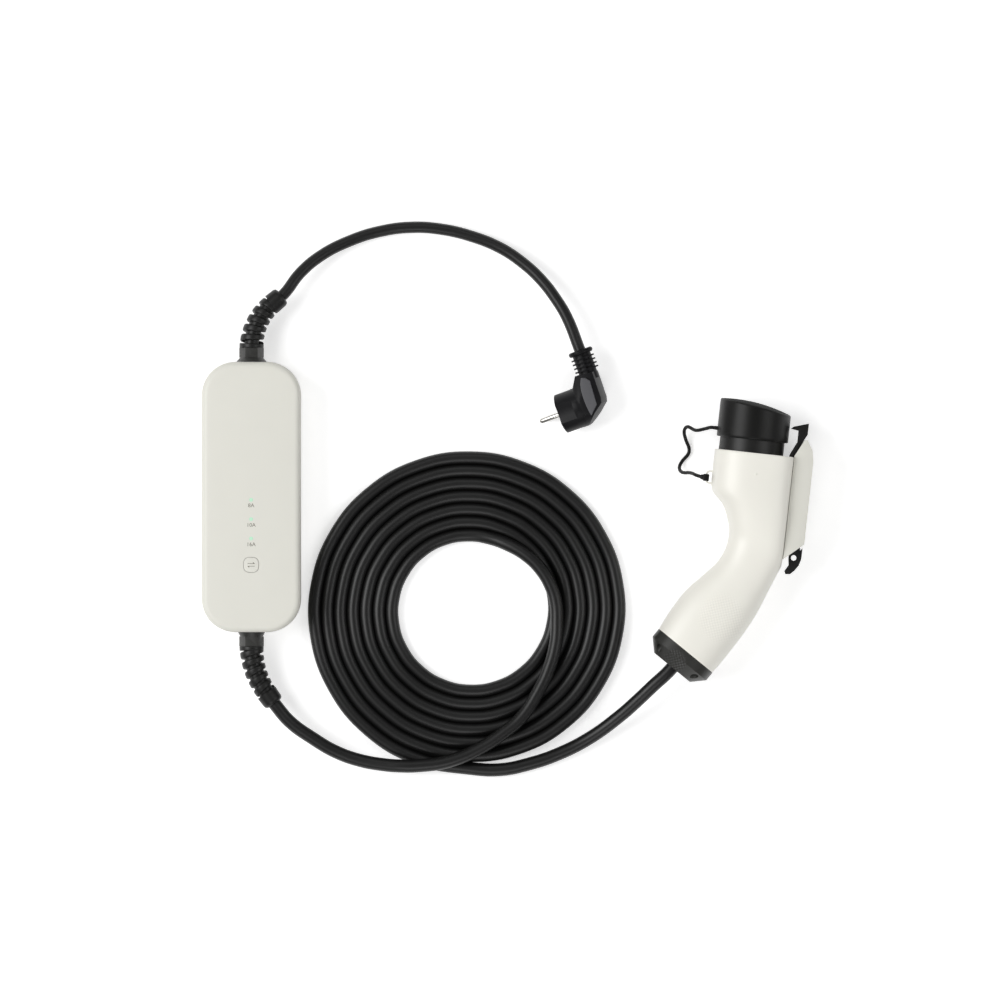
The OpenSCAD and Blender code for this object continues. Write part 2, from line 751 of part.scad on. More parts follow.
// A bent sleeve with a spiral strip round it, and a plain ring at each end
module bend_relief(end, bend, cord_d) {
    r = bend_r(bend);
    steps = 12 * relief_turns;
    bore = cord_d + 2 * cord_gap + relief_bore_gap;
    at_gland(end)
        translate([0, 0, gland_l])
            difference() {
                union() {
                    bent_bar(bend, relief_lap, relief_arc + relief_lap,
                        relief_d - 2 * relief_groove, relief_end_d - 2 * relief_groove);
                    skin([for (i = [0 : steps])
                        let (turn = 30 * i)
                        let (outer = lerp(relief_d, relief_end_d, i / steps) / 2)
                        [for (c = [[-relief_strip_t, -0.5], [0, -0.5], [0, 0.5], [-relief_strip_t, 0.5]])
                            let (s = relief_base_l + relief_pitch * i / 12 + c[1] * relief_strip_w)
                            let (lean = bend * s / relief_arc)
                            let (x = (outer + c[0]) * cos(turn))
                            [r * (1 - cos(lean)) + x * cos(lean), (outer + c[0]) * sin(turn),
                                r * sin(lean) - x * sin(lean)]]]);
                    cylinder(d = relief_d + relief_bore_gap, h = relief_base_l);
                    translate([r * (1 - cos(bend)), 0, r * sin(bend)])
                        rotate([0, bend, 0]) {
                            cylinder(d1 = relief_end_d + 2 * relief_lap, d2 = relief_end_d - relief_tip_round / 2,
                                h = relief_tip_l - relief_tip_round);
                            translate([0, 0, relief_tip_l - relief_tip_round])
                                cylinder(d1 = relief_end_d - relief_tip_round / 2,
                                    d2 = relief_end_d - 2 * relief_tip_round, h = relief_tip_round);
                        }
                }
                bent_bar(bend, -0.5, relief_arc + 0.5, bore, bore);
                translate([r * (1 - cos(bend)), 0, r * sin(bend)])
                    rotate([0, bend, 0])
                        cylinder(d = bore - relief_bore_gap, h = relief_tip_l + 1);
            }
}

module supply_bend_relief() {
    color(black)
        bend_relief(1, supply_bend, supply_cord_d);
}

module lead_bend_relief() {
    color(black)
        bend_relief(-1, lead_bend, lead_d);
}

// Cords
module supply_cord() {
    color(black)
        cord(concat(cord_start(1, supply_bend), supply_route, [plug_point(plug_cord_x, plug_neck_y)]),
            supply_cord_d);
}

module charge_lead_inner() {
    color(black)
        cord(concat(cord_start(-1, lead_bend), inner_route), lead_d);
}

module charge_lead_coil() {
    color(black)
        translate([coil_at[0], coil_at[1], 0])
            tube(coil_r + coil_pitch / 4 - lead_d / 2, coil_out + lead_d / 2, lead_d);
}

module charge_lead_outer() {
    color(black)
        cord(concat([[coil_at[0], coil_at[1] - coil_out, lead_d / 2]], outer_route,
            [for (y = [-end_cap_l - end_cap_bevel - 4, -end_cap_l, lead_in_grip]) gun_point(end_point(0, y))]),
            lead_d);
}

// Plug: in its own frame x runs from the face to the back and y to the cord
// The plug behind its face: an outline in plan, rounded in front view and tapered to the back
module plug_block(plan, rise) {
    intersection() {
        translate([0, 0, -plug_d])
            linear_extrude(2 * plug_d)
                polygon(plan);
        rotate([90, 0, 90])
            linear_extrude(plug_depth + 1)
                hull() {
                    circle(r = plug_d / 2 - 0.2 + rise);
                    translate([30, 0])
                        circle(r = neck_r + rise);
                }
        rotate([90, 0, 0])
            translate([0, 0, -2 * plug_d])
                linear_extrude(4 * plug_d)
                    polygon([for (c = [[0, 1], [1, 1], [1, -1], [0, -1]])
                        [lerp(plug_face_l, plug_depth, c[0]),
                            c[1] * (lerp(plug_d, plug_back_t, c[0]) / 2 + rise)]]);
    }
}

module plug_body() {
    color(black)
        at_plug()
            difference() {
                union() {
                    rotate([0, 90, 0])
                        cylinder(d = plug_d, h = plug_face_l + 0.01);
                    plug_block([[plug_face_l, -plug_d / 2], [plug_face_l + 1, -plug_d / 2],
                        [plug_depth - 1.6, -3], [plug_depth - 0.4, 1.5], [plug_depth, 26],
                        [plug_cord_x - 10, 27.6], [plug_face_l, plug_d / 2]], 0);
                    intersection() {
                        plug_block([[plug_face_l + 2, -9], [plug_cord_x - 2.5, -4.6],
                            [plug_cord_x - 1.5, 20.4], [plug_cord_x - 9, 22], [plug_face_l + 2.4, 8]], panel_rise);
                        bar([0, -plug_d, 0], [plug_depth, plug_d, plug_d]);
                    }
                    translate([plug_cord_x, 0, 0])
                        rotate([-90, 0, 0]) {
                            translate([0, 0, 20])
                                cylinder(r = rib_core_r, h = plug_neck_y - 20);
                            for (i = [0 : 3])
                                translate([0, 0, plug_neck_y - 19.3 + 3.65 * i])
                                    cylinder(r = rib_r - 0.1 * i, h = 1.5);
                            translate([0, 0, plug_neck_y - 4.3])
                                cylinder(r = rib_r, h = 4.3);
                            bar([-2, 0.9 - rib_r, 24], [2, rib_r - 0.9, plug_neck_y - 2]);
                        }
                }
                for (s = [-1, 1]) {
                    translate([0, 0, s * pin_pitch / 2])
                        rotate([0, 90, 0])
                            translate([0, 0, -1])
                                cylinder(d = pin_d - pin_root, h = pin_in + 1);
                    translate([-1, 0, 0])
                        rotate([90, 0, 90])
                            linear_extrude(16.5)
                                polygon([for (c = [[-16, -0.4], [-3.7, -3.2], [3.7, -3.2], [16, -0.4], [16, 2], [-16, 2]])
                                    [c[0], s * (plug_d / 2 + c[1])]]);
                    bar([-1, s * plug_d / 2 - 1.6, -3.2], [15, s * plug_d / 2 + 1.6, 3.2]);
                }
                translate([-1, -10, 0])
                    rotate([0, 90, 0])
                        cylinder(d = earth_socket_d, h = 16);
            }
}

// Each pin has a thinner root in the plug
module plug_pins() {
    color(steel)
        at_plug()
            for (s = [-1, 1])
                translate([pin_in, 0, s * pin_pitch / 2])
                    rotate([0, -90, 0]) {
                        cylinder(d = pin_d - pin_root, h = pin_in + 1);
                        translate([0, 0, pin_in + 0.4])
                            cylinder(d = pin_d, h = pin_l - 2);
                        translate([0, 0, pin_in + pin_l - 1.6])
                            cylinder(d1 = pin_d, d2 = pin_d - 2, h = 1.6);
                    }
}

module plug_earth_clips() {
    color(steel)
        at_plug()
            for (s = [0, 180])
                rotate([s, 0, 0])
                    bar([0, plug_d / 2 - 1.6, -3], [15, plug_d / 2 - 0.7, 3]);
}

// Connector
// A point of a section: st is a station, a the angle round it, p and q the roundness of the front and the
// latch side, flat the limit towards the latch
function section_point(st, a, p, q, flat) =
    let (e = cos(a) > 0 ? q : p)
    let (x = sign(cos(a)) * pow(abs(cos(a)), e) * st[3])
    let (z = sign(sin(a)) * pow(abs(sin(a)), e) * st[4])
    [min(st[0] + x * cos(st[2]), flat), st[1] + x * sin(st[2]), z];
// The latch side is squarer under the latch cover, and as round as the front along the grip
function front_round(st) = 2 / section_power;
function latch_round(st) = 2 / lerp(section_power, latch_side_power, max(0, min(1, (st[1] + 120) / 40)));

// The bore for the collar fades into an even wall behind it
function inside(st) =
    let (k = max(0, min(1, (st[1] + 40) / 14)))
    lerp([st[0], st[1], st[2], st[3] - shell_wall, st[4] - shell_wall], [0, st[1], 0, bore_r, bore_r], k);
function inside_round(st, e) = lerp(e, 1, max(0, min(1, (st[1] + 40) / 14)));

// The half of the body above its middle plane
module half_shell() {
    difference() {
        skin([for (st = smooth(stations, 2))
            concat([for (i = [16 : -1 : 0])
                    section_point(st, 11.25 * i, front_round(st), latch_round(st), seam_u)],
                [for (i = [0 : 16])
                    section_point(inside(st), 11.25 * i, inside_round(st, front_round(st)),
                        inside_round(st, latch_round(st)), seam_u - shell_wall)])],
            folded = true);
        bar([seam_u - 6, -24, -1], [seam_u + 4, 1, slot_half]);
    }
}

// The two places of the end cap's screws
module at_end_cap_screws() {
    for (s = [-1, 1])
        along_grip()
            translate([s * end_cap_screw_at[0], -end_cap_screw_at[1], 0])
                children();
}

module gun_shell_upper() {
    color(shell_white)
        at_gun()
            difference() {
                union() {
                    half_shell();
                    translate([eye_at[0], eye_at[1], 0])
                        cylinder(r = eye_r, h = eye_t);
                    bar([eye_at[0], eye_at[1] - eye_r, 0], [front_u + 2, eye_at[1] + eye_r, eye_t]);
                    at_end_cap_screws()
                        translate([0, 0, spigot_l + 0.4])
                            cylinder(r = 3.6, h = 10);
                }
                translate([eye_at[0], eye_at[1], -1])
                    cylinder(d = eye_d, h = eye_t + 2);
                at_end_cap_screws()
                    cylinder(d = end_cap_screw_d, h = spigot_l + 9);
            }
}

module gun_shell_lower() {
    color(shell_white)
        at_gun()
            mirror([0, 0, 1])
                half_shell();
}

module nose_collar() {
    color(black)
        at_gun()
            difference() {
                along_nose()
                    rotate_extrude()
                        polygon([[nose_root_r, insert_back], [collar_d / 2 - 3, insert_back],
                            [collar_d / 2 - 3, -12], [collar_d / 2, -12], [collar_d / 2, collar_l - 1],
                            [collar_d / 2 - 1, collar_l], [nose_root_r, collar_l]]);
                bar([-collar_d / 2 - 1, 3, -4], [-collar_d / 2 + 2.4, collar_l + 1, 4]);
            }
}

module nose_insert() {
    color(black)
        at_gun()
            difference() {
                along_nose()
                    rotate_extrude()
                        polygon([[0, insert_back], [nose_root_r, insert_back], [nose_root_r, nose_from],
                            [nose_d / 2, nose_from], [nose_d / 2, nose_l - 1.2],
                            [nose_d / 2 - 1.2, nose_l], [0, nose_l]]);
                for (c = contact_at)
                    translate([c[0], insert_back - 1, c[1]])
                        along_nose()
                            cylinder(r = c[2] / 2 + contact_wall, h = nose_l);
            }
}

module contact_sleeves() {
    color(brass)
        at_gun()
            for (c = contact_at)
                translate([c[0], contact_ends[0], c[1]])
                    along_nose()
                        difference() {
                            cylinder(r = c[2] / 2 + contact_wall, h = contact_ends[1] - contact_ends[0]);
                            translate([0, 0, 18])
                                cylinder(d = c[2], h = 30);
                        }
}

// Wires from the end of the lead to the back of each contact
module gun_cores() {
    color([0.8, 0.35, 0.2])
        at_gun()
            for (i = [0 : 4])
                let (c = contact_at[i])
                let (o = [core_spread * cos(72 * i), core_spread * sin(72 * i)])
                cord(concat(
                    [for (y = [lead_in_grip, lead_in_grip + 8]) end_point(o[0], y) + [0, 0, o[1]]],
                    [for (k = [8 : -1 : 3])
                        [stations[k][0] - 2 + 1.5 * o[0], stations[k][1], 1.5 * o[1]]],
                    [for (v = [-26, contact_ends[0]]) [c[0], v, c[1]]]), 2.4, 6);
}

module gun_cord_clamp() {
    color(steel)
        at_gun()
            along_grip()
                translate([0, 0, 8])
                    tube(lead_d / 2 + 0.05, clamp_r, 10);
}

module gun_end_cap() {
    spigot = shell_wall + 0.3;
    color(black)
        at_gun()
            difference() {
                translate([end_station[0], end_station[1], 0])
                    rotate([0, 0, end_station[2]])
                        skin([for (r = [[spigot_l, spigot], [0, spigot], [0, 0], [-end_cap_l, 0],
                                [-end_cap_l - end_cap_bevel, end_cap_bevel]])
                            let (st = [0, r[0], 0, end_station[3] - r[1], end_station[4] - r[1]])
                            [for (i = [31 : -1 : 0]) section_point(st, 11.25 * i, 2 / section_power, 2 / section_power, 99)]]);
                along_grip()
                    translate([0, 0, -end_cap_l - end_cap_bevel - 1])
                        cylinder(d = lead_d + 2 * cord_gap, h = end_cap_l + end_cap_bevel + spigot_l + 2);
                at_end_cap_screws() {
                    translate([0, 0, -end_cap_l - end_cap_bevel - 1])
                        cylinder(d = end_cap_screw_d + 3, h = end_cap_l + end_cap_bevel + 1 - end_cap_seat);
                    translate([0, 0, -end_cap_seat - 1])
                        cylinder(d = end_cap_screw_d, h = end_cap_seat + spigot_l + 2);
                }
            }
}

module end_cap_screws() {
    color(steel)
        at_gun()
            at_end_cap_screws()
                translate([0, 0, -end_cap_seat - 2.6])
                    difference() {
                        union() {
                            cylinder(d = end_cap_screw_d + 2.6, h = 2.6);
                            cylinder(d = end_cap_screw_d, h = 2.6 + end_cap_seat + spigot_l + 8.5);
                        }
                        translate([0, 0, -1])
                            cylinder(d = 3, h = 2.4, $fn = 6);
                    }
}

// Latch
module latch_cover() {
    color(shell_white)
        at_gun()
            difference() {
                translate([0, 0, -cover_w / 2])
                    linear_extrude(cover_w)
                        polygon(cover_outline);
                translate([0, 0, -slot_half])
                    linear_extrude(2 * slot_half)
                        polygon(channel_outline);
                translate([pivot_at[0], pivot_at[1], 3 - cover_w / 2])
                    cylinder(d = pivot_d, h = cover_w - 6);
            }
}

module latch_lever() {
    color(black)
        at_gun()
            difference() {
                translate([0, 0, -lever_t / 2])
                    linear_extrude(lever_t)
                        polygon(lever_outline);
                for (h = [[pivot_at, pivot_d + 2 * pivot_gap], [padlock_at, padlock_d]])
                    translate([h[0][0], h[0][1], -lever_t])
                        cylinder(d = h[1], h = 2 * lever_t);
            }
}

module latch_pin() {
    color(steel)
        at_gun()
            translate([pivot_at[0], pivot_at[1], 3 - cover_w / 2])
                cylinder(d = pivot_d, h = cover_w - 6);
}

module latch_spring() {
    color(steel)
        at_gun()
            translate([seam_u, spring_v, 0])
                rotate([0, 90, 0])
                    skin([for (i = [0 : 48])
                        let (turn = 30 * i)
                        let (s = spring_wire / 2 + (spring_l - spring_wire) * i / 48)
                        [for (c = [[-1, -1], [1, -1], [1, 1], [-1, 1]])
                            let (r = (spring_d - spring_wire + c[0] * spring_wire) / 2)
                            [r * cos(turn), r * sin(turn), s + c[1] * spring_wire / 2]]]);
}

// Dust cap and tether
module cap_space(r, top) {
    intersection() {
        along_nose()
            translate([0, 0, cap_edge - (top == 0 ? 0 : 1)])
                cylinder(r = r, h = cap_dome_r);
        translate([cap_dome_at[0], cap_dome_at[1], 0])
            sphere(r = cap_dome_r - top, $fn = 160);
    }
}

module dust_cap() {
    color(black)
        at_gun()
            difference() {
                union() {
                    cap_space(cap_d / 2, 0);
                    translate([boss_end, boss_v, 0])
                        rotate([0, 90, 0])
                            cylinder(d = tether_d + 2.4, h = 4);
                }
                cap_space(collar_d / 2 + cap_gap, cap_top_wall);
            }
}

module cap_tether() {
    color(black) {
        cord(concat([gun_point([boss_end - 0.3, boss_v, 0]), gun_point([boss_end - 3, boss_v, 0])],
            tether_route, [gun_point(crimp_back), gun_point(crimp_front), gun_point(loop_end)]), tether_d, 8);
        cord([gun_point(crimp_back), gun_point(crimp_front)], crimp_d, 12);
    }
}

module tether_loop() {
    out = eye_at[0] - eye_r - loop_gap;
    inn = eye_at[0] - eye_d / 2 + loop_gap;
    y0 = eye_at[1] - loop_w / 2;
    y1 = eye_at[1] + loop_w / 2;
    color(black)
        at_gun()
            difference() {
                bar([out - loop_bar, y0, -loop_gap - loop_bar], [inn + loop_bar, y1, eye_t + loop_gap + loop_bar]);
                bar([out, y0 - 1, -loop_gap], [inn, y1 + 1, eye_t + loop_gap]);
            }
}

front_cover();
rear_cover();
box_gasket();
cover_screws();
current_key();
lamp_lenses();
panel_board();
panel_lamps();
key_switch();
main_board();
board_screws();
relays();
leakage_sensor();
power_module();
supply_terminals();
output_terminals();
box_cores();
supply_gland();
lead_gland();
gland_locknuts();
supply_bend_relief();
lead_bend_relief();
supply_cord();
charge_lead_inner();
charge_lead_coil();
charge_lead_outer();
plug_body();
plug_pins();
plug_earth_clips();
gun_shell_upper();
gun_shell_lower();
nose_collar();
nose_insert();
contact_sleeves();
gun_cores();
gun_cord_clamp();
gun_end_cap();
end_cap_screws();
latch_cover();
latch_lever();
latch_pin();
latch_spring();
dust_cap();
cap_tether();
tether_loop();
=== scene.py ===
"""Portable car charger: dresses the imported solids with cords, spirals, skins, prints and finishes."""

import json
import math

import bmesh
import bpy
from mathutils import Euler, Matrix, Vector


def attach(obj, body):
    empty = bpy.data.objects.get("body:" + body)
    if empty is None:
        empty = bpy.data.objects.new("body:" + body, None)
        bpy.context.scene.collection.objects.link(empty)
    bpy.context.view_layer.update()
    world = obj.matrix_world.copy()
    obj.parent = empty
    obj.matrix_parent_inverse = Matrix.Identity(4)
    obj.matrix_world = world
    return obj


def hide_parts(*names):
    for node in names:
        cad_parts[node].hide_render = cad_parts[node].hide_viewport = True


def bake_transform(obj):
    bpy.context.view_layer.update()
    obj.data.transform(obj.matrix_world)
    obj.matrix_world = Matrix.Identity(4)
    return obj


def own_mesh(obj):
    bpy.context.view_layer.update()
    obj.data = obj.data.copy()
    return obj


bl_info = {
    "name": "Portable car charger",
    "version": (1, 0, 0),
    "blender": (4, 5, 0),
    "location": "View3D > Sidebar > Charger",
    "description": "Dresses the packed charger with cords, spirals, skins, prints and finishes",
    "category": "Object",
}

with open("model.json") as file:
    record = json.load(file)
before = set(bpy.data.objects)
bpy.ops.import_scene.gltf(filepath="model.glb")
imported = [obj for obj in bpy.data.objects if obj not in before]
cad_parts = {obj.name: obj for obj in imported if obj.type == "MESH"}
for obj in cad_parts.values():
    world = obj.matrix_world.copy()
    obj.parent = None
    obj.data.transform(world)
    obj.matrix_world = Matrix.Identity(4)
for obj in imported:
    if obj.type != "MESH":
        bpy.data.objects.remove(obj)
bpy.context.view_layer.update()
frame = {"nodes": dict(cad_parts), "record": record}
MM = 0.001

# The floor plan of the photograph: middle of the view, and its width
VIEW_MIDDLE = (0.22365, -0.0027)
VIEW_WIDTH = 0.9
# Height above the floor at which the view has that width
VIEW_LEVEL = 0.025
LENS = 600.0
SENSOR = 36.0
# Lamps: name, place, size and power
LAMPS = (
    ("key_lamp", (-3.6, 0.5, 3.9), 3.6, 188), ("fill_lamp", (4.1, 0.1, 3.9), 3.2, 60),
    ("back_lamp", (0.2, 3.9, 3.9), 3.2, 25), ("front_lamp", (0.2, -3.9, 3.9), 3.2, 65),
)
LAMP_AIM = 0.02
FLOOR_SIZE = 40
FLOOR_Z = -0.0004
FLOOR_GLOW = 0.45
SKY_LIGHT = 0.22

# Control box
BOX_L = 243.0
BOX_H = 48.0
GLAND_Z = 20.0
GLAND_L = 13.0
LABEL_Y = (-7.7, -25.3, -42.7)
LABELS = ("8A", "10A", "16A")
LABEL_H = 4.9
KEY_Y = -61.0
# Outline of the upper arrow on the key
ARROW = ((-3.2, 0.95), (3.2, 0.95), (3.2, 1.3), (1.9, 2.4), (1.5, 2.0), (2.0, 1.4), (-3.2, 1.4))
# The prints' thickness, and the gap under them that keeps them off the box
PRINT_T = 0.04
PRINT_GAP = 0.005

# Bend reliefs
RELIEF_BASE = 3.5
RELIEF_PITCH = 8.2
RELIEF_TURNS = 5
RELIEF_ARC = RELIEF_BASE + RELIEF_PITCH * RELIEF_TURNS
RELIEF_TIP = 12.0
RELIEF_STRIP = 5.4
STRIP_ROUND = 1.3
# Room round the cord: under the strip and in the sleeves
STRIP_PLAY = 0.3
SLEEVE_PLAY = 0.6
CORE_WALL = 0.8
# Rounding of the tip's far end, and its share across
TIP_CROWN = 3.6
CROWN_SHARE = 0.8
SUPPLY_BEND = 50.0
LEAD_BEND = 36.0

# Coil and routes on the floor, in millimetres
COIL_AT = (196.6, -101.7)
COIL_R = 64.5
# How far the turns press into each other
COIL_PRESS = 0.3
# Angles of the coil's knots in degrees, from its inner end to its outer one
COIL_ANGLES = range(90, 2431, 20)
SUPPLY_ROUTE = (
    (43.7, 201.6, 17), (61.7, 216.9, 13), (88.7, 230.9, 8), (115.7, 239.4, 5.6),
    (142.7, 243, 5.2), (169.7, 241.5, 5.4), (199.4, 234.5, 6.6), (223.7, 224.6, 9.2),
    (241.7, 212.9, 12.4), (259.7, 196.7, 16.6), (275, 176.9, 20.6), (284, 161.5, 22.7),
)
INNER_ROUTE = (
    (34.7, -202.5, 18.4), (54.5, -216.9, 16.4), (76, -229.5, 15.2), (97.7, -237.2, 15),
    (120.2, -241.2, 16.6), (134, -242.2, 17.9), (150, -242, 17.9), (178.7, -237.6, 17.9),
    (210.2, -223.7, 17.9), (226, -213, 17.9), (241.7, -199.8, 17.9), (257.9, -175.5, 17.9),
    (268.2, -153, 17.9), (274, -130.5, 17.9), (275, -112, 17.9), (274.2, -96, 17.9),
    (270, -81.4, 17.9), (260.3, -64.9, 17.4), (246.5, -51.8, 15.7), (230.6, -42.8, 12.6),
    (213.9, -36.9, 8.2),
)
OUTER_ROUTE = (
    (223.7, -245.7, 5.9), (250.7, -240.3, 5.9), (277.7, -230.9, 6.4), (304.7, -216.9, 9.6),
    (331.7, -197.1, 18), (348, -182.6, 25), (361, -170.2, 30),
)
TETHER_ROUTE = (
    (409.3, 61.7, 31), (405.2, 60.7, 28), (401.1, 60, 24), (398.2, 60.6, 20.4), (395.4, 62.2, 16.8),
    (392.6, 63.2, 13.2), (390.3, 61.6, 10), (389.6, 58, 7.4), (390.4, 54, 5.4), (391.9, 49.6, 3.6),
    (393.7, 45.3, 2.2), (394.2, 42, 1.8), (393.4, 38.8, 1.8), (390.9, 35.7, 1.9), (387.7, 32, 2.3),
    (385.7, 28.4, 4), (385.4, 25.2, 7.4), (386.9, 22.8, 11.6), (389.9, 21.8, 16.2), (393.2, 21.9, 20.6),
    (396.3, 21.4, 25.2),
)

# Chequered patch on the grip
CHEQUER_AT = (423.0, -109.0)
CHEQUER_R = 24.0
CHEQUER_WAVE = 1900.0
# Chequered patch on the end cap
END_CHEQUER_AT = (380.8, -147.1)
END_CHEQUER_R = 12.0
# Mark of the mould's gate on top of the body
GATE_AT = (453.4, 20.6)
GATE_R = 1.7

# Plug and connector places
PLUG_AT = (279.4, 75.0, 15.736)
PLUG_TURN = math.radians(19.8)
PLUG_LEAN = math.radians(-13.0)
PLUG_CORD = (35.5, 48.5)
PLUG_R = 18.25
PLUG_BACK_R = 12.4
PLUG_FACE = 20.3
PLUG_DEPTH = 42.0
PLUG_COLLAR = 44.2
COLLAR_R = 10.985
COLLAR_ROUND = 1.7
# Outline of the raised panel on the plug's back, and its rise
PANEL = (
    (37.7, 19.3), (34.5, 23), (31, 24.4), (28.8, 19.5), (27.7, 14), (27.2, 9), (27.1, 4.3),
    (27.3, -1), (27.8, -6), (28.6, -10.6), (36.4, -2.9),
)
PANEL_RISE = 1.1
PANEL_ROOT = 4.0
GUN_AT = (449.3, 40.0, 32.55)
GUN_TILT = math.radians(6.3)
BORE_R = 29.55
SEAM_U = 39.05
SEAM_GAP = 0.5
# The latch's return spring: its place along the seam
SPRING_V = -68.0
# The latch's slot in the body: its middle beside the seam, and its sizes
SLOT_AT = (-1.0, -11.0)
SLOT_SIZE = (10.0, 26.0, 11.2)
# The tether's lug and its hole: half width, half heights at the tip and the root, thickness
EYE_AT = (-33.9, -26.0, 2.0)
EYE_SIZE = (4.6, 6.2, 7.6, 4.0)
EYE_HOLE = (2.6, 4.6, 4.6, 6.0)
EYE_HOLE_SHIFT = -0.3
EYE_ROUND = 0.75
LOOP_END = (-40.0, -26.7, 2.0)
CRIMP_FRONT = (-42.7, -26.4, 1.7)
CRIMP_BACK = (-46.3, -25.7, -0.5)
CRIMP_R = (1.9, 2.7)
CLASP_U = (-40.2, -34.9)
CLASP_V = -26.7
CLASP_W = (-2.0, 6.0)
CLASP_H = 6.4
# Thickness of the clasp's band at its ends, and above and below the lug
CLASP_SIDE = 1.5
CLASP_BAND = 1.7
CAP_BOSS = (-34.9, 18.6)
CAP_BOSS_R = 1.8
CAP_BOSS_L = 4.0
CAP_R = 32.3
CAP_BORE = 29.55
CAP_EDGE = 11.7
CAP_ROUND = 1.4
CAP_DOME_AT = (-19.3, -92.4)
CAP_DOME_R = 139.0
CAP_TOP_WALL = 2.8
# Sections of the body: place u, v, turn in degrees, half width and half thickness
STATIONS = (
    (4.55, 0, 0, 37.1, 32.55), (4.55, -20, 0, 37.1, 32.55), (5.25, -38, -1.5, 36.5, 32.55),
    (11, -53, -7, 31.4, 31.05), (14.2, -69.9, -11.5, 28.3, 28.5), (14.6, -83.3, -16, 27.3, 25.5),
    (10.7, -98.2, -20.5, 26, 24.5), (4.1, -113.6, -25.5, 26.7, 24.5), (-5.4, -129.8, -29.5, 30, 25.25),
    (-17.5, -147.5, -32, 32.6, 26), (-29, -166.5, -32.5, 32.6, 26), (-38.7, -183.6, -33, 31.2, 25),
)
SECTION_POWER = 2.4
LATCH_SIDE_POWER = 3.4
GRIP_END = STATIONS[-1]


def gun_point(u, v, w=0.0):
    """A point of the connector's own frame, in metres on the floor plan."""
    c, s = math.cos(GUN_TILT), math.sin(GUN_TILT)
    return Vector((GUN_AT[0] + u * c + v * s, GUN_AT[1] - u * s + v * c, GUN_AT[2] + w)) * MM


def grip_point(y):
    """A point on the grip's axis, y millimetres back up from its end."""
    a = math.radians(GRIP_END[2])
    return gun_point(GRIP_END[0] - y * math.sin(a), GRIP_END[1] + y * math.cos(a))


def plug_point(x, y, z=0.0):
    """A point of the plug's own frame: x behind its face, y towards its cord."""
    return (Vector(PLUG_AT) + Euler((0, PLUG_LEAN, PLUG_TURN)).to_matrix() @ Vector((x, y, z))) * MM


def bent(end, bend, x, y, z):
    """A point of a straight relief, carried onto its bend; end is 1 at the mains gland, -1 at the lead's."""
    lean = math.radians(bend) * min(max(z / RELIEF_ARC, 0), 1)
    r = RELIEF_ARC / math.radians(bend)
    past = max(z - RELIEF_ARC, 0) + min(z, 0)
    across = r * (1 - math.cos(lean)) + x * math.cos(lean) + past * math.sin(lean)
    along = r * math.sin(lean) - x * math.sin(lean) + past * math.cos(lean)
    return Vector((across, end * (BOX_L / 2 + GLAND_L + along), GLAND_Z - end * y)) * MM


def through(points, steps):
    """A smooth row of vectors through the given ones."""
    p = [Vector(q) for q in points]
    row = []
    for i in range(len(p) - 1):
        a, b, c, d = p[max(i - 1, 0)], p[i], p[i + 1], p[min(i + 2, len(p) - 1)]
        for k in range(steps):
            t = k / steps
            row.append(0.5 * (2 * b + (c - a) * t + (2 * a - 5 * b + 4 * c - d) * t * t
                              + (3 * b - a - 3 * c + d) * t ** 3))
    return row + [p[-1]]


class Value:
    """One socket of a finish. Arithmetic on it adds Math nodes."""

    def __init__(self, finish, socket):
        self.finish = finish
        self.socket = socket

    def __add__(self, other):
        return self.finish.maths("ADD", self, other)

    def __sub__(self, other):
        return self.finish.maths("SUBTRACT", self, other)

    def __rsub__(self, other):
        return self.finish.maths("SUBTRACT", other, self)

    def __mul__(self, other):
        return self.finish.maths("MULTIPLY", self, other)

    def __truediv__(self, other):
        return self.finish.maths("DIVIDE", self, other)

    __radd__ = __add__
    __rmul__ = __mul__


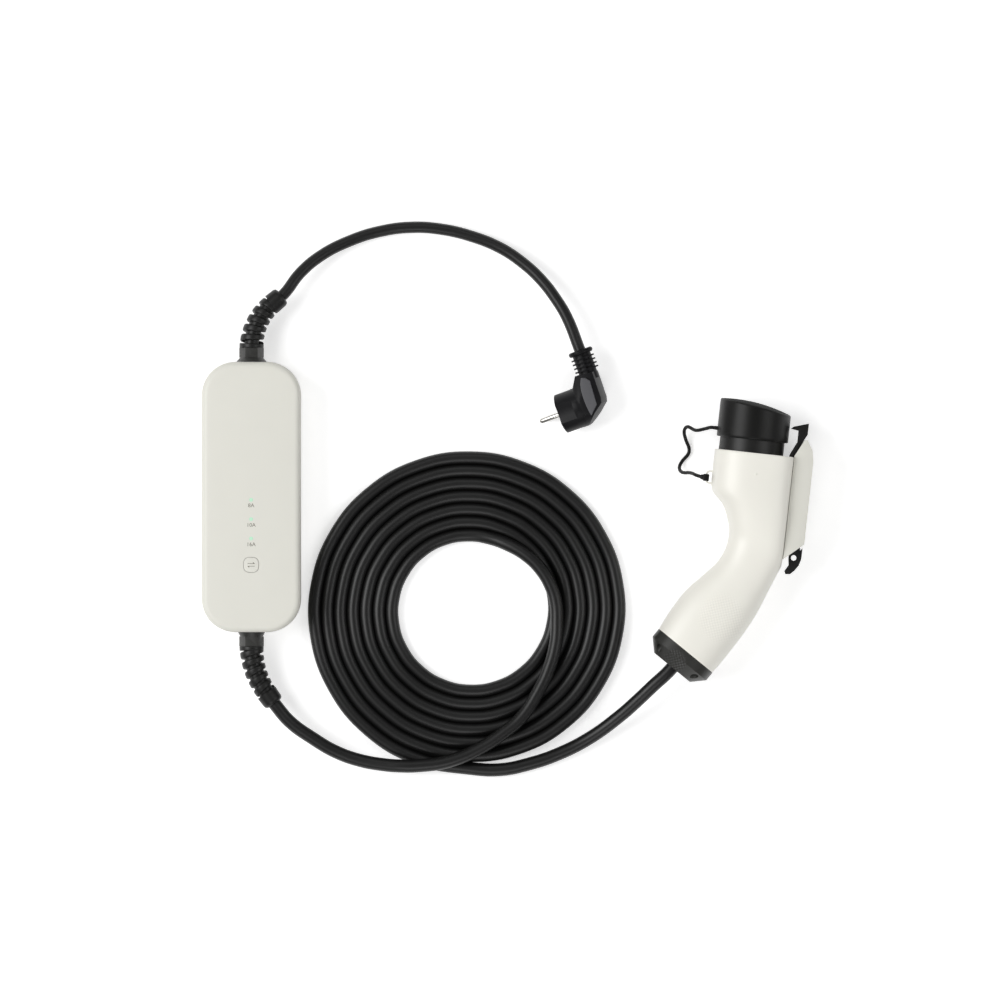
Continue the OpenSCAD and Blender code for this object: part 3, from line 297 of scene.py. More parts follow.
class Finish:
    """A material under construction: its surface shader and the nodes that feed it."""

    def __init__(self, name, colour, roughness, **plain):
        self.material = bpy.data.materials.new(name)
        self.material.use_nodes = True
        self.tree = self.material.node_tree
        self.face = self.tree.nodes["Principled BSDF"]
        self.colour = (*colour, 1.0)
        self.feed("Base Color", self.colour)
        self.feed("Roughness", roughness)
        for socket, value in plain.items():
            self.feed(socket.replace("_", " "), value)

    def feed(self, socket, value):
        """Sets a socket of the surface shader, or links a value to it."""
        self.put(self.face.inputs[socket], value)

    def put(self, socket, value):
        if isinstance(value, Value):
            self.tree.links.new(value.socket, socket)
        else:
            socket.default_value = value

    def node(self, kind, settings=None, values=None, out=0):
        """Adds a node: its settings first, then the values or links of its sockets."""
        made = self.tree.nodes.new(kind)
        for name, value in (settings or {}).items():
            setattr(made, name, value)
        for socket, value in (values or {}).items():
            self.put(made.inputs[socket], value)
        return Value(self, made.outputs[out])

    def maths(self, operation, a, b=0.0):
        return self.node("ShaderNodeMath", {"operation": operation}, {0: a, 1: b})

    def place(self):
        return self.node("ShaderNodeTexCoord", out="Object")

    def axis(self, place, letter):
        return self.node("ShaderNodeSeparateXYZ", values={0: place}, out=letter)

    def noise(self, place, scale, detail=2.0, rough=0.5):
        return self.node("ShaderNodeTexNoise", values={
            "Vector": place, "Scale": scale, "Detail": detail, "Roughness": rough})

    def mix(self, factor, a, b):
        return self.node("ShaderNodeMix", {"data_type": "RGBA"}, {0: factor, 6: a, 7: b}, out=2)

    def shade(self, factor, amount):
        """Lets the colour run lighter and darker by an amount, as the factor runs from 0 to 1."""
        low = tuple(c * (1 - amount) for c in self.colour[:3]) + (1.0,)
        high = tuple(min(1.0, c * (1 + amount)) for c in self.colour[:3]) + (1.0,)
        self.feed("Base Color", self.mix(factor, low, high))

    def bump(self, height, strength, distance):
        self.feed("Normal", self.node("ShaderNodeBump", values={
            "Strength": strength, "Distance": distance, "Height": height}))


def moulded(name, colour, roughness, grain, depth, mottle=0.03, swing=0.08, **plain):
    """Moulded plastic or rubber: a fine spark-eroded grain, slight cloudiness and uneven gloss."""
    made = Finish(name, colour, roughness, **plain)
    place = made.place()
    fine = made.noise(place, grain, 3.0, 0.6)
    cloud = made.noise(place, 45.0, 2.0)
    made.shade(cloud, mottle)
    made.feed("Roughness", cloud * swing + fine * swing + (roughness - swing))
    made.bump(fine, 0.35, depth)
    return made


def srgb(r, g, b):
    """A colour as it is read off a screen, as light."""
    return tuple((c / 255 / 12.92) if c <= 10 else ((c / 255 + 0.055) / 1.055) ** 2.4 for c in (r, g, b))


def colour_property(label, words, value):
    return bpy.props.FloatVectorProperty(
        name=label, description=words, subtype="COLOR", size=3, min=0.0, max=1.0, default=value)


def length_property(label, words, value):
    return bpy.props.FloatProperty(
        name=label, description=words, subtype="DISTANCE", unit="LENGTH", default=value)


class ChargerSettings(bpy.types.PropertyGroup):
    """The sizes and colours that a user would change."""

    supply_cord_d: length_property("Mains cord", "Diameter of the mains cord", 0.0104)
    lead_d: length_property("Charging lead", "Diameter of the charging lead", 0.0119)
    tether_d: length_property("Tether", "Diameter of the dust cap's tether", 0.0032)
    relief_d: length_property("Bend relief", "Outside diameter of the spirals at the glands", 0.0218)
    relief_end_d: length_property(
        "Bend relief's end", "Outside diameter of the spirals at their other ends", 0.0184)
    box_white: colour_property("Box", "Colour of the control box", srgb(226, 225, 216))
    gun_white: colour_property("Connector", "Colour of the connector's body", srgb(244, 242, 233))
    cover_white: colour_property("Latch cover", "Colour of the latch cover", srgb(224, 223, 214))
    black: colour_property("Black parts", "Colour of the black mouldings", srgb(17, 17, 16))
    cord_black: colour_property("Cords", "Colour of the cords", srgb(12, 12, 12))
    # Painted light: the end cap's black is lighter than the other mouldings', standing in for light on its
    # upward faces
    end_cap_black: colour_property("End cap", "Colour of the grip's end cap", srgb(38, 38, 35))
    # Painted light: the glands' black is lighter than the other mouldings', standing in for light on their
    # upward faces
    gland_black: colour_property("Glands", "Colour of the cord glands", srgb(44, 44, 42))
    plug_black: colour_property("Plug", "Colour of the plug", srgb(20, 20, 22))
    # Painted light: the panel's grey stands in for the light on its upward face; the plug itself is black
    panel_grey: colour_property("Plug's panel", "Colour of the plug's raised panel", srgb(92, 92, 95))
    print_grey: colour_property("Print", "Colour of the printed marks", srgb(116, 112, 100))
    lamp_green: colour_property("Lamps", "Colour of the lit lamps", srgb(182, 222, 196))


def settings():
    return bpy.context.scene.charger


# Plain finishes: a setting or a colour, then roughness, grain, depth of grain, mottle and other sockets
PLAIN_FINISHES = {
    "box_white": ("box_white", 0.5, 2600.0, 0.00006, 0.012, {}),
    "cover_white": ("cover_white", 0.4, 2200.0, 0.00003, 0.01, {}),
    "black_plastic": ("black", 0.42, 2400.0, 0.00005, 0.12, {"Specular_IOR_Level": 0.35}),
    # Painted light: a lighter copy of black_plastic, for light on the glands' upward faces
    "gland_black": ("gland_black", 0.42, 2400.0, 0.00005, 0.12, {}),
    "black_rubber": ("black", 0.4, 3000.0, 0.00006, 0.15, {"Specular_IOR_Level": 0.22}),
    "dome_matt": ("black", 0.75, 3000.0, 0.00006, 0.15, {"Specular_IOR_Level": 0.14}),
    "plug_black": ("plug_black", 0.42, 2600.0, 0.00005, 0.12, {"Specular_IOR_Level": 0.15}),
    # Painted light: grey for the light on the plug panel's upward face
    "panel_grey": ("panel_grey", 0.5, 1800.0, 0.0001, 0.12, {"Specular_IOR_Level": 0.3}),
    "cord_black": ("cord_black", 0.4, 3200.0, 0.00004, 0.15, {"Specular_IOR_Level": 0.42}),
    "print_grey": ("print_grey", 0.5, 2600.0, 0.00002, 0.05, {}),
    "steel": (srgb(190, 190, 192), 0.3, 1800.0, 0.00002, 0.05, {"Metallic": 1.0}),
    "pin_metal": (srgb(205, 203, 198), 0.22, 1500.0, 0.00002, 0.04, {"Metallic": 1.0}),
    "board": (srgb(40, 105, 62), 0.35, 900.0, 0.00004, 0.1, {}),
    "terminal": (srgb(62, 128, 78), 0.4, 1500.0, 0.00004, 0.08, {}),
    "relay": (srgb(45, 55, 92), 0.35, 1500.0, 0.00004, 0.08, {}),
    "core": (srgb(150, 92, 52), 0.45, 1500.0, 0.00004, 0.08, {}),
}
# Finishes, made once and shared
finishes = {}


def finish(name):
    """The named finish, made when it is first asked for."""
    if name not in finishes:
        patterned = {"gun_white": gun_finish, "end_cap_black": end_cap_finish, "lamp": lamp_finish}
        made = patterned[name]() if name in patterned else plain_finish(name)
        finishes[name] = made.material
    return finishes[name]


def plain_finish(name):
    """A finish from the table, with the colour that its setting holds."""
    colour, roughness, grain, depth, mottle, others = PLAIN_FINISHES[name]
    if isinstance(colour, str):
        colour = getattr(settings(), colour)
    return moulded(name, colour, roughness, grain, depth, mottle, **others)


def chequering(made, place, centre, radius):
    """The height of rows of small beads, which fade out away from the middle of their patch."""
    x, y = made.axis(place, "X"), made.axis(place, "Y")
    along, across = x * 0.53 + y * 0.85, x * 0.85 - y * 0.53
    beads = made.maths("SINE", along * CHEQUER_WAVE) * made.maths("SINE", across * CHEQUER_WAVE)
    return beads * made.maths("MINIMUM", spot(made, place, centre, radius) * 3.0, 1.0)


def spot(made, place, centre, radius):
    """1 above a point of the floor plan, falling to 0 at a radius from it, in millimetres."""
    flat = made.node("ShaderNodeVectorMath", {"operation": "MULTIPLY"}, {0: place, 1: (1.0, 1.0, 0.0)})
    away = made.node("ShaderNodeVectorMath", {"operation": "DISTANCE"}, {
        0: flat, 1: (centre[0] * MM, centre[1] * MM, 0.0)}, out="Value")
    return 1 - made.maths("MINIMUM", away / (radius * MM), 1.0)


def gun_finish():
    """Satin white, with a fine chequering on the upper face of the grip, painted darker in its grooves and
    lighter on its beads, and the mark of the mould's gate.
    """
    made = moulded("gun_white", settings().gun_white, 0.4, 2200.0, 0.00003, 0.01)
    place = made.place()
    beads = chequering(made, place, CHEQUER_AT, CHEQUER_R)
    # Painted shade and light: the colour runs 5 % darker in the chequer's grooves and lighter on its beads,
    # over a slight cloudiness
    made.shade(beads * 0.5 + made.noise(place, 45.0) * 0.2 + 0.4, 0.05)
    made.bump(beads + spot(made, place, GATE_AT, GATE_R) * 4.0, 0.6, 0.0002)
    return made


def end_cap_finish():
    """The black of the mouldings with painted light: a little lighter, for the light on its faces, with a
    chequered patch on the slanting face.
    """
    made = moulded("end_cap_black", settings().end_cap_black, 0.4, 2400.0, 0.00005, 0.12)
    made.bump(chequering(made, made.place(), END_CHEQUER_AT, END_CHEQUER_R), 0.7, 0.0003)
    return made


def lamp_finish():
    """A clear lens with a lit lamp under it, brightest in the middle of its face."""
    green = settings().lamp_green
    made = moulded("lamp", green, 0.3, 2600.0, 0.00002, 0.02)
    place = made.place()
    x = made.axis(place, "X")
    glow = 1 - made.maths("MINIMUM", made.maths("ABSOLUTE", x) / 0.0022, 1.0)
    made.feed("Emission Color", made.mix(glow, (*(0.25 * c for c in green), 1.0), (*green, 1.0)))
    made.feed("Emission Strength", 0.22)
    return made


def none_selected():
    if bpy.context.object and bpy.context.object.mode != "OBJECT":
        bpy.ops.object.mode_set(mode="OBJECT")
    bpy.ops.object.select_all(action="DESELECT")


def active(obj):
    """Makes a piece the only one selected."""
    none_selected()
    obj.select_set(True)
    bpy.context.view_layer.objects.active = obj
    return obj


def named(name):
    """Names the piece that an operator has just added, and its data."""
    obj = bpy.context.object
    obj.name = name
    obj.data.name = name
    return obj


def dress(obj, finish_name):
    obj.data.materials.clear()
    obj.data.materials.append(finish(finish_name))


def smooth(obj, degrees=35.0):
    active(obj)
    bpy.ops.object.shade_smooth_by_angle(angle=math.radians(degrees))


def apply_modifier(obj, kind, **values):
    active(obj)
    modifier = obj.modifiers.new(kind.title(), kind)
    for name, value in values.items():
        setattr(modifier, name, value)
    bpy.ops.object.modifier_apply(modifier=modifier.name)


def round_edges(obj, width, degrees=50.0):
    """Rounds the edges that turn by more than an angle, by a width in millimetres."""
    apply_modifier(obj, "BEVEL", width=width * MM, segments=3, limit_method="ANGLE",
                   angle_limit=math.radians(degrees))


def outward(obj):
    """Turns the faces of a closed piece outwards."""
    active(obj)
    bpy.ops.object.mode_set(mode="EDIT")
    bpy.ops.mesh.select_all(action="SELECT")
    bpy.ops.mesh.normals_make_consistent(inside=False)
    bpy.ops.object.mode_set(mode="OBJECT")


def merged(obj):
    """Joins the faces of a piece where their corners meet."""
    active(obj)
    bpy.ops.object.mode_set(mode="EDIT")
    bpy.ops.mesh.select_all(action="SELECT")
    bpy.ops.mesh.remove_doubles(threshold=0.002 * MM)
    bpy.ops.object.mode_set(mode="OBJECT")


def cord_curve(name, points, diameter):
    """A cord: one open spline with automatic handles through its points."""
    none_selected()
    bpy.ops.curve.primitive_bezier_curve_add(enter_editmode=False)
    obj = named(name)
    curve = obj.data
    curve.splines.clear()
    spline = curve.splines.new("BEZIER")
    spline.bezier_points.add(len(points) - 1)
    for knot, point in zip(spline.bezier_points, points):
        knot.co = point
        knot.handle_left_type = knot.handle_right_type = "AUTO"
    curve.dimensions = "3D"
    curve.resolution_u = 8
    curve.bevel_depth = diameter / 2
    curve.bevel_resolution = 9
    curve.use_fill_caps = True
    obj.location = (0, 0, 0)
    return obj


def row_length(points):
    return sum((b - a).length for a, b in zip(points, points[1:]))


def relief_line(end, bend):
    """The middle line of a cord from the box's wall to the tip of its relief."""
    heights = [-GLAND_L, -GLAND_L / 2] + [RELIEF_ARC * i / 5 for i in range(6)]
    heights += [RELIEF_ARC + RELIEF_TIP / 2, RELIEF_ARC + RELIEF_TIP + 2]
    return [bent(end, bend, 0, 0, z) for z in heights]


def floor_points(route):
    return [Vector(p) * MM for p in route]


class CHARGER_OT_stage(bpy.types.Operator):
    """Adds the camera, the floor, the lamps and the sky"""

    bl_idname = "charger.stage"
    bl_label = "Stage"

    def execute(self, context):
        none_selected()
        height = VIEW_LEVEL + VIEW_WIDTH * LENS / SENSOR
        bpy.ops.object.camera_add(location=(*VIEW_MIDDLE, height), rotation=(0, 0, 0))
        camera = named("photo_camera")
        camera.data.lens = LENS
        camera.data.sensor_width = SENSOR
        camera.data.clip_end = 60
        context.scene.camera = camera
        self.floor()
        for lamp in LAMPS:
            self.lamp(*lamp)
        self.sky(context)
        context.scene.view_settings.view_transform = "Standard"
        return {"FINISHED"}

    def floor(self):
        none_selected()
        bpy.ops.mesh.primitive_plane_add(size=FLOOR_SIZE, location=(0, 0, FLOOR_Z))
        floor = named("floor")
        paper = Finish("floor_paper", (0.9, 0.9, 0.9), 0.8)
        paper.feed("Emission Color", (1.0, 1.0, 1.0, 1.0))
        paper.feed("Emission Strength", self.seen(paper) * FLOOR_GLOW)
        floor.data.materials.append(paper.material)

    def seen(self, made):
        """1 for rays that show the background: from the camera, and by way of gloss or glass."""
        kinds = ("Camera", "Glossy", "Transmission")
        rays = [made.node("ShaderNodeLightPath", out=f"Is {kind} Ray") for kind in kinds]
        return made.maths("MAXIMUM", made.maths("MAXIMUM", rays[0], rays[1]), rays[2])

    def lamp(self, name, place, size, power):
        none_selected()
        target = Vector((*VIEW_MIDDLE, LAMP_AIM))
        turn = (Vector(place) - target).to_track_quat("Z", "Y").to_euler()
        bpy.ops.object.light_add(type="AREA", radius=size / 2, location=place, rotation=turn)
        lamp = named(name)
        lamp.data.shape = "DISK"
        lamp.data.size = size
        lamp.data.energy = power
        lamp.visible_camera = False

    def sky(self, context):
        world = context.scene.world or bpy.data.worlds.new("sky")
        context.scene.world = world
        world.use_nodes = True
        tree = world.node_tree
        back = tree.nodes["Background"]
        back.inputs["Color"].default_value = (1.0, 1.0, 1.0, 1.0)
        rays = tree.nodes.new("ShaderNodeLightPath")
        pick = tree.nodes.new("ShaderNodeMix")
        pick.inputs[2].default_value = SKY_LIGHT
        pick.inputs[3].default_value = 1.0
        tree.links.new(rays.outputs["Is Camera Ray"], pick.inputs[0])
        tree.links.new(pick.outputs[0], back.inputs["Strength"])


class CHARGER_OT_cords(bpy.types.Operator):
    """Adds the mains cord and the charging lead with its coil"""

    bl_idname = "charger.cords"
    bl_label = "Cords"

    def execute(self, context):
        s = settings()
        plug = [skins[name] for name in ("plug_body", "plug_panel", "plug_pins")]
        plug.append(frame["nodes"]["plug_earth_clips"])
        points = relief_line(1, SUPPLY_BEND) + floor_points(SUPPLY_ROUTE) + [plug_point(*PLUG_CORD)]
        cord = cord_curve("mains_cord", points, s.supply_cord_d)
        dress(cord, "cord_black")
        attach(cord, "charger")
        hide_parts("supply_cord")
        points = relief_line(-1, LEAD_BEND) + floor_points(INNER_ROUTE) + self.coil(s.lead_d)
        points += floor_points(OUTER_ROUTE) + [grip_point(y) for y in (-23.4, -9.0, 6.0)]
        lead = cord_curve("charging_lead", points, s.lead_d)
        dress(lead, "cord_black")
        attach(lead, "charger")
        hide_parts("charge_lead_inner", "charge_lead_coil", "charge_lead_outer")
        return {"FINISHED"}

    def coil(self, diameter):
        """The turns of the flat spiral, side by side from the inside out."""
        row = []
        for angle in COIL_ANGLES:
            r = COIL_R * MM + (diameter - COIL_PRESS * MM) * angle / 360
            a = math.radians(angle)
            x, y = COIL_AT[0] * MM + r * math.cos(a), COIL_AT[1] * MM + r * math.sin(a)
            row.append(Vector((x, y, diameter / 2)))
        return row


class CHARGER_OT_tether(bpy.types.Operator):
    """Adds the dust cap's tether, which bends from the body to the cap"""

    bl_idname = "charger.tether"
    bl_label = "Tether"

    def execute(self, context):
        s = settings()
        boss, loop = gun_point(*CAP_BOSS), gun_point(*LOOP_END)
        points = [boss, gun_point(CAP_BOSS[0] - 3, CAP_BOSS[1])] + floor_points(TETHER_ROUTE)
        points += [gun_point(*CRIMP_BACK), gun_point(*CRIMP_FRONT), loop]
        path = through(points, 6)
        tether = cord_curve("tether", list(reversed(points)), s.tether_d)
        active(tether)
        bpy.ops.object.convert(target="MESH")
        merged(tether)
        dress(tether, "black_rubber")
        smooth(tether, 60)
        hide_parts("cap_tether")
        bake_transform(tether)
        path = list(reversed(path))
        row_length(path)
        self.crimp()
        self.clasp()
        return {"FINISHED"}

    def crimp(self):
        """The crimp on the tether's end, which widens towards the clasp."""
        none_selected()
        bpy.ops.mesh.primitive_cylinder_add(vertices=32, radius=1, depth=1)
        crimp = named("tether_crimp")
        back, front = gun_point(*CRIMP_FRONT), gun_point(*LOOP_END)
        turn = (front - back).to_track_quat("Z", "Y")
        for v in crimp.data.vertices:
            share = v.co.z + 0.5
            r = (CRIMP_R[0] + (CRIMP_R[1] - CRIMP_R[0]) * share) * MM
            v.co = back.lerp(front, share) + turn @ Vector((v.co.x * r, v.co.y * r, 0))
        round_edges(crimp, 0.6)
        smooth(crimp, 40)
        dress(crimp, "black_rubber")
        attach(crimp, "charger")

    def clasp(self):
        """The clasp that ends the tether: a band through the lug and round its outer bar."""
        clasp = self.block("tether_clasp", CLASP_U, CLASP_W, CLASP_H)
        inside_u = (CLASP_U[0] + CLASP_SIDE, CLASP_U[1] - CLASP_SIDE)
        inside_w = (CLASP_W[0] + CLASP_BAND, CLASP_W[1] - CLASP_BAND)
        hole = self.block("clasp_tool", inside_u, inside_w, 2 * CLASP_H)
        apply_modifier(clasp, "BOOLEAN", operation="DIFFERENCE", object=hole, solver="EXACT")
        bpy.data.objects.remove(hole)
        apply_modifier(clasp, "TRIANGULATE")
        round_edges(clasp, 0.7)
        smooth(clasp, 40)
        dress(clasp, "black_rubber")
        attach(clasp, "charger")
        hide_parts("tether_loop")

    def block(self, name, u, w, height):
        """A block beside the body, between two places u and two heights w."""
        none_selected()
        bpy.ops.mesh.primitive_cube_add(size=1)
        block = named(name)
        for v in block.data.vertices:
            v.co = gun_point(u[v.co.x > 0], CLASP_V + height * v.co.y, w[v.co.z > 0])
        return block


class CHARGER_OT_spirals(bpy.types.Operator):
    """Adds the two spiral bend reliefs"""

    bl_idname = "charger.spirals"
    bl_label = "Bend reliefs"

    def execute(self, context):
        s = settings()
        for name, node, end, bend, cord_d in (
            ("mains_spiral", "supply_bend_relief", 1, SUPPLY_BEND, s.supply_cord_d),
            ("lead_spiral", "lead_bend_relief", -1, LEAD_BEND, s.lead_d),
        ):
            piece = self.spiral(name, s.relief_d / 2 / MM, s.relief_end_d / 2 / MM, cord_d / 2 / MM)
            for v in piece.data.vertices:
                v.co = bent(end, bend, v.co.x / MM, v.co.y / MM, v.co.z / MM)
            outward(piece)
            smooth(piece, 40)
            dress(piece, "black_plastic")
            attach(piece, "charger")
            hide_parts(node)
        return {"FINISHED"}

    def spiral(self, name, outer, end_r, cord_r):
        """A straight relief along z: the strip by a screw, drawn in to its end, then a sleeve at each end."""
        inner = cord_r + STRIP_PLAY
        none_selected()
        bpy.ops.mesh.primitive_plane_add(size=1)
        strip = named(name)
        bpy.ops.object.mode_set(mode="EDIT")
        bpy.ops.transform.resize(value=((outer - inner) * MM, RELIEF_STRIP * MM, 1))
        bpy.ops.mesh.select_all(action="SELECT")
        bpy.ops.mesh.bevel(offset=STRIP_ROUND * MM, segments=4, affect="VERTICES")
        bpy.ops.mesh.select_all(action="SELECT")
        bpy.ops.mesh.delete(type="ONLY_FACE")
        bpy.ops.object.mode_set(mode="OBJECT")
        for v in strip.data.vertices:
            v.co = Vector((v.co.x + (inner + outer) / 2 * MM, 0, v.co.y + RELIEF_BASE * MM))
        apply_modifier(strip, "SCREW", angle=math.radians(360), screw_offset=RELIEF_PITCH * MM,
                       iterations=RELIEF_TURNS, steps=28, render_steps=28, axis="Z",
                       use_normal_calculate=True)
        bpy.ops.object.mode_set(mode="EDIT")
        bpy.ops.mesh.select_all(action="DESELECT")
        bpy.ops.mesh.select_mode(type="EDGE")
        bpy.ops.mesh.select_non_manifold()
        bpy.ops.mesh.edge_face_add()
        bpy.ops.object.mode_set(mode="OBJECT")
        for v in strip.data.vertices:
            flat = Vector((v.co.x, v.co.y))
            drawn_in = (outer - end_r) * min(max(v.co.z / (RELIEF_ARC * MM), 0), 1)
            flat *= 1 - drawn_in * (flat.length - inner * MM) / (outer - inner) / flat.length
            v.co.x, v.co.y = flat
        bore = cord_r + SLEEVE_PLAY
        core_r = bore + CORE_WALL
        tip_end = RELIEF_ARC + RELIEF_TIP
        base = self.sleeve(bore, outer, outer, 0, RELIEF_BASE, 0.5)
        core = self.sleeve(bore, core_r, core_r, 0.5, RELIEF_ARC + 0.5, 0.1, 9)
        tip = self.sleeve(bore, end_r + 0.2, end_r - 0.3, RELIEF_ARC, tip_end, 0.4, 15, TIP_CROWN)
        none_selected()
        for part in (base, core, tip, strip):
            part.select_set(True)
        bpy.context.view_layer.objects.active = strip
        bpy.ops.object.join()
        return strip

    def sleeve(self, inner, low_r, high_r, low, high, edge, cuts=1, crown=0.0):
        """A tapered tube along z, cut in rings so that it can bend; a crown rounds its far end."""
        none_selected()
        sides = 80 // (cuts + 1)
        bpy.ops.mesh.primitive_cylinder_add(vertices=sides, radius=1, depth=1, end_fill_type="NOTHING")
        tube = named("sleeve")
        bpy.ops.object.mode_set(mode="EDIT")
        bpy.ops.mesh.select_all(action="SELECT")
        bpy.ops.mesh.subdivide(number_cuts=cuts, smoothness=0)
        bpy.ops.object.mode_set(mode="OBJECT")
        for v in tube.data.vertices:
            share = v.co.z + 0.5
            z = low + (high - low) * share
            turned = min(max((z - high + crown) / crown, 0.0), 1.0) if crown else 0.0
            r = low_r + (high_r - low_r) * share
            r -= crown * (1 - math.sqrt(1 - turned * turned)) * CROWN_SHARE
            flat = Vector((v.co.x, v.co.y)).normalized() * r
            v.co = Vector((flat.x, flat.y, z)) * MM
        wall = (low_r + high_r) / 2 - crown * CROWN_SHARE - inner
        apply_modifier(tube, "SOLIDIFY", thickness=wall * MM, offset=-1)
        round_edges(tube, edge)
        return tube


def loft(name, rings):
    """A closed skin through a row of like rings: a disc, drawn out ring by ring."""
    none_selected()
    bpy.ops.mesh.primitive_circle_add(vertices=len(rings[0]), radius=1, fill_type="NGON")
    obj = named(name)
    bpy.ops.object.mode_set(mode="EDIT")
    bpy.ops.mesh.select_mode(type="VERT")
    mesh = bmesh.from_edit_mesh(obj.data)
    for v, place in zip(list(mesh.verts), rings[0]):
        v.co = place
    for ring in rings[1:]:
        bpy.ops.mesh.extrude_region_move()
        mesh = bmesh.from_edit_mesh(obj.data)
        drawn = [v for v in mesh.verts if v.select]
        for v, place in zip(drawn, ring):
            v.co = place
        bmesh.update_edit_mesh(obj.data)
    outward(obj)
    return obj


class CHARGER_OT_gun_body(bpy.types.Operator):
    """Adds the connector's body: one skin for its two half shells, with the bore for the collar"""

    bl_idname = "charger.gun_body"
    bl_label = "Connector body"

    # Angles round a section: close pairs at 0 and 180 make the parting groove
    angles = [0.0, 0.9] + [7.5 * i for i in range(1, 24)] + [179.1, 180.0]
    angles += [180.9] + [180 + 7.5 * i for i in range(1, 24)] + [359.1]

    def execute(self, context):
        rows = through(STATIONS, 4)
        rings = [[self.skin_point(st, a) for a in self.angles] for st in reversed(rows)]
        front = rows[0]
        rings[-1] = [self.skin_point(front, a, drop=-0.9) for a in self.angles]
        rings.append([self.skin_point(front, a, drop=-0.25, inset=0.25) for a in self.angles])
        rings.append([self.skin_point(front, a, inset=0.9) for a in self.angles])
        for r, v in ((BORE_R + 0.5, 0.0), (BORE_R, -0.5), (BORE_R, -11.6)):
            rings.append([gun_point(r * math.cos(math.radians(a)), v, r * math.sin(math.radians(a)))
                          for a in self.angles])
        body = loft("gun_body", rings)
        self.cut_slot(body)
        smooth(body, 40)
        dress(body, "gun_white")
        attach(body, "charger")
        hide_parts("gun_shell_upper", "gun_shell_lower")
        self.eye()
        return {"FINISHED"}

    def skin_point(self, st, angle, drop=0.0, inset=0.0):
        """A point of a section, with the parting groove and the flat that carries the latch cover."""
        u, v, turn, half_w, half_t = st
        groove = 0.5 if angle in (0.0, 180.0) else 0.0
        c, s = math.cos(math.radians(angle)), math.sin(math.radians(angle))
        power = SECTION_POWER
        if c > 0:
            power += (LATCH_SIDE_POWER - SECTION_POWER) * min(max((v + 120) / 40, 0), 1)
        x = math.copysign(abs(c) ** (2 / power), c) * (half_w - inset - groove)
        w = math.copysign(abs(s) ** (2 / power), s) * (half_t - inset)
        t = math.radians(turn)
        return gun_point(min(u + x * math.cos(t), SEAM_U - SEAM_GAP - inset), v + x * math.sin(t) + drop, w)

    def cut_slot(self, body):
        """Opens the slot that the latch lever swings in."""
        none_selected()
        bpy.ops.mesh.primitive_cube_add(size=1)
        slot = named("slot_tool")
        for v in slot.data.vertices:
            x, y, z = (size * n for size, n in zip(SLOT_SIZE, v.co))
            v.co = gun_point(SEAM_U + SLOT_AT[0] + x, SLOT_AT[1] + y, z)
        apply_modifier(body, "BOOLEAN", operation="DIFFERENCE", object=slot, solver="EXACT")
        bpy.data.objects.remove(slot)

    def eye(self):
        """The lug on the body that the tether's clasp goes through: a flat ring, broader at its root."""
        eye = self.oblong("tether_eye", EYE_AT[0], *EYE_SIZE)
        hole = self.oblong("lug_tool", EYE_AT[0] + EYE_HOLE_SHIFT, *EYE_HOLE)
        apply_modifier(eye, "BOOLEAN", operation="DIFFERENCE", object=hole, solver="EXACT")
        bpy.data.objects.remove(hole)
        apply_modifier(eye, "TRIANGULATE")
        round_edges(eye, 0.8)
        smooth(eye, 40)
        dress(eye, "gun_white")
        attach(eye, "charger")

    def oblong(self, name, u, half_w, tip_h, root_h, thick):
        """A flat rounded oblong beside the body, with half heights at its tip and at its root."""
        none_selected()
        bpy.ops.mesh.primitive_cylinder_add(vertices=48, radius=1, depth=1)
        piece = named(name)
        for v in piece.data.vertices:
            half_h = tip_h + (root_h - tip_h) * max(0.0, v.co.x)
            x, y = (math.copysign(abs(n) ** EYE_ROUND, n) for n in v.co.xy)
            v.co = gun_point(u + half_w * x, EYE_AT[1] + half_h * y, EYE_AT[2] + thick * v.co.z)
        return piece


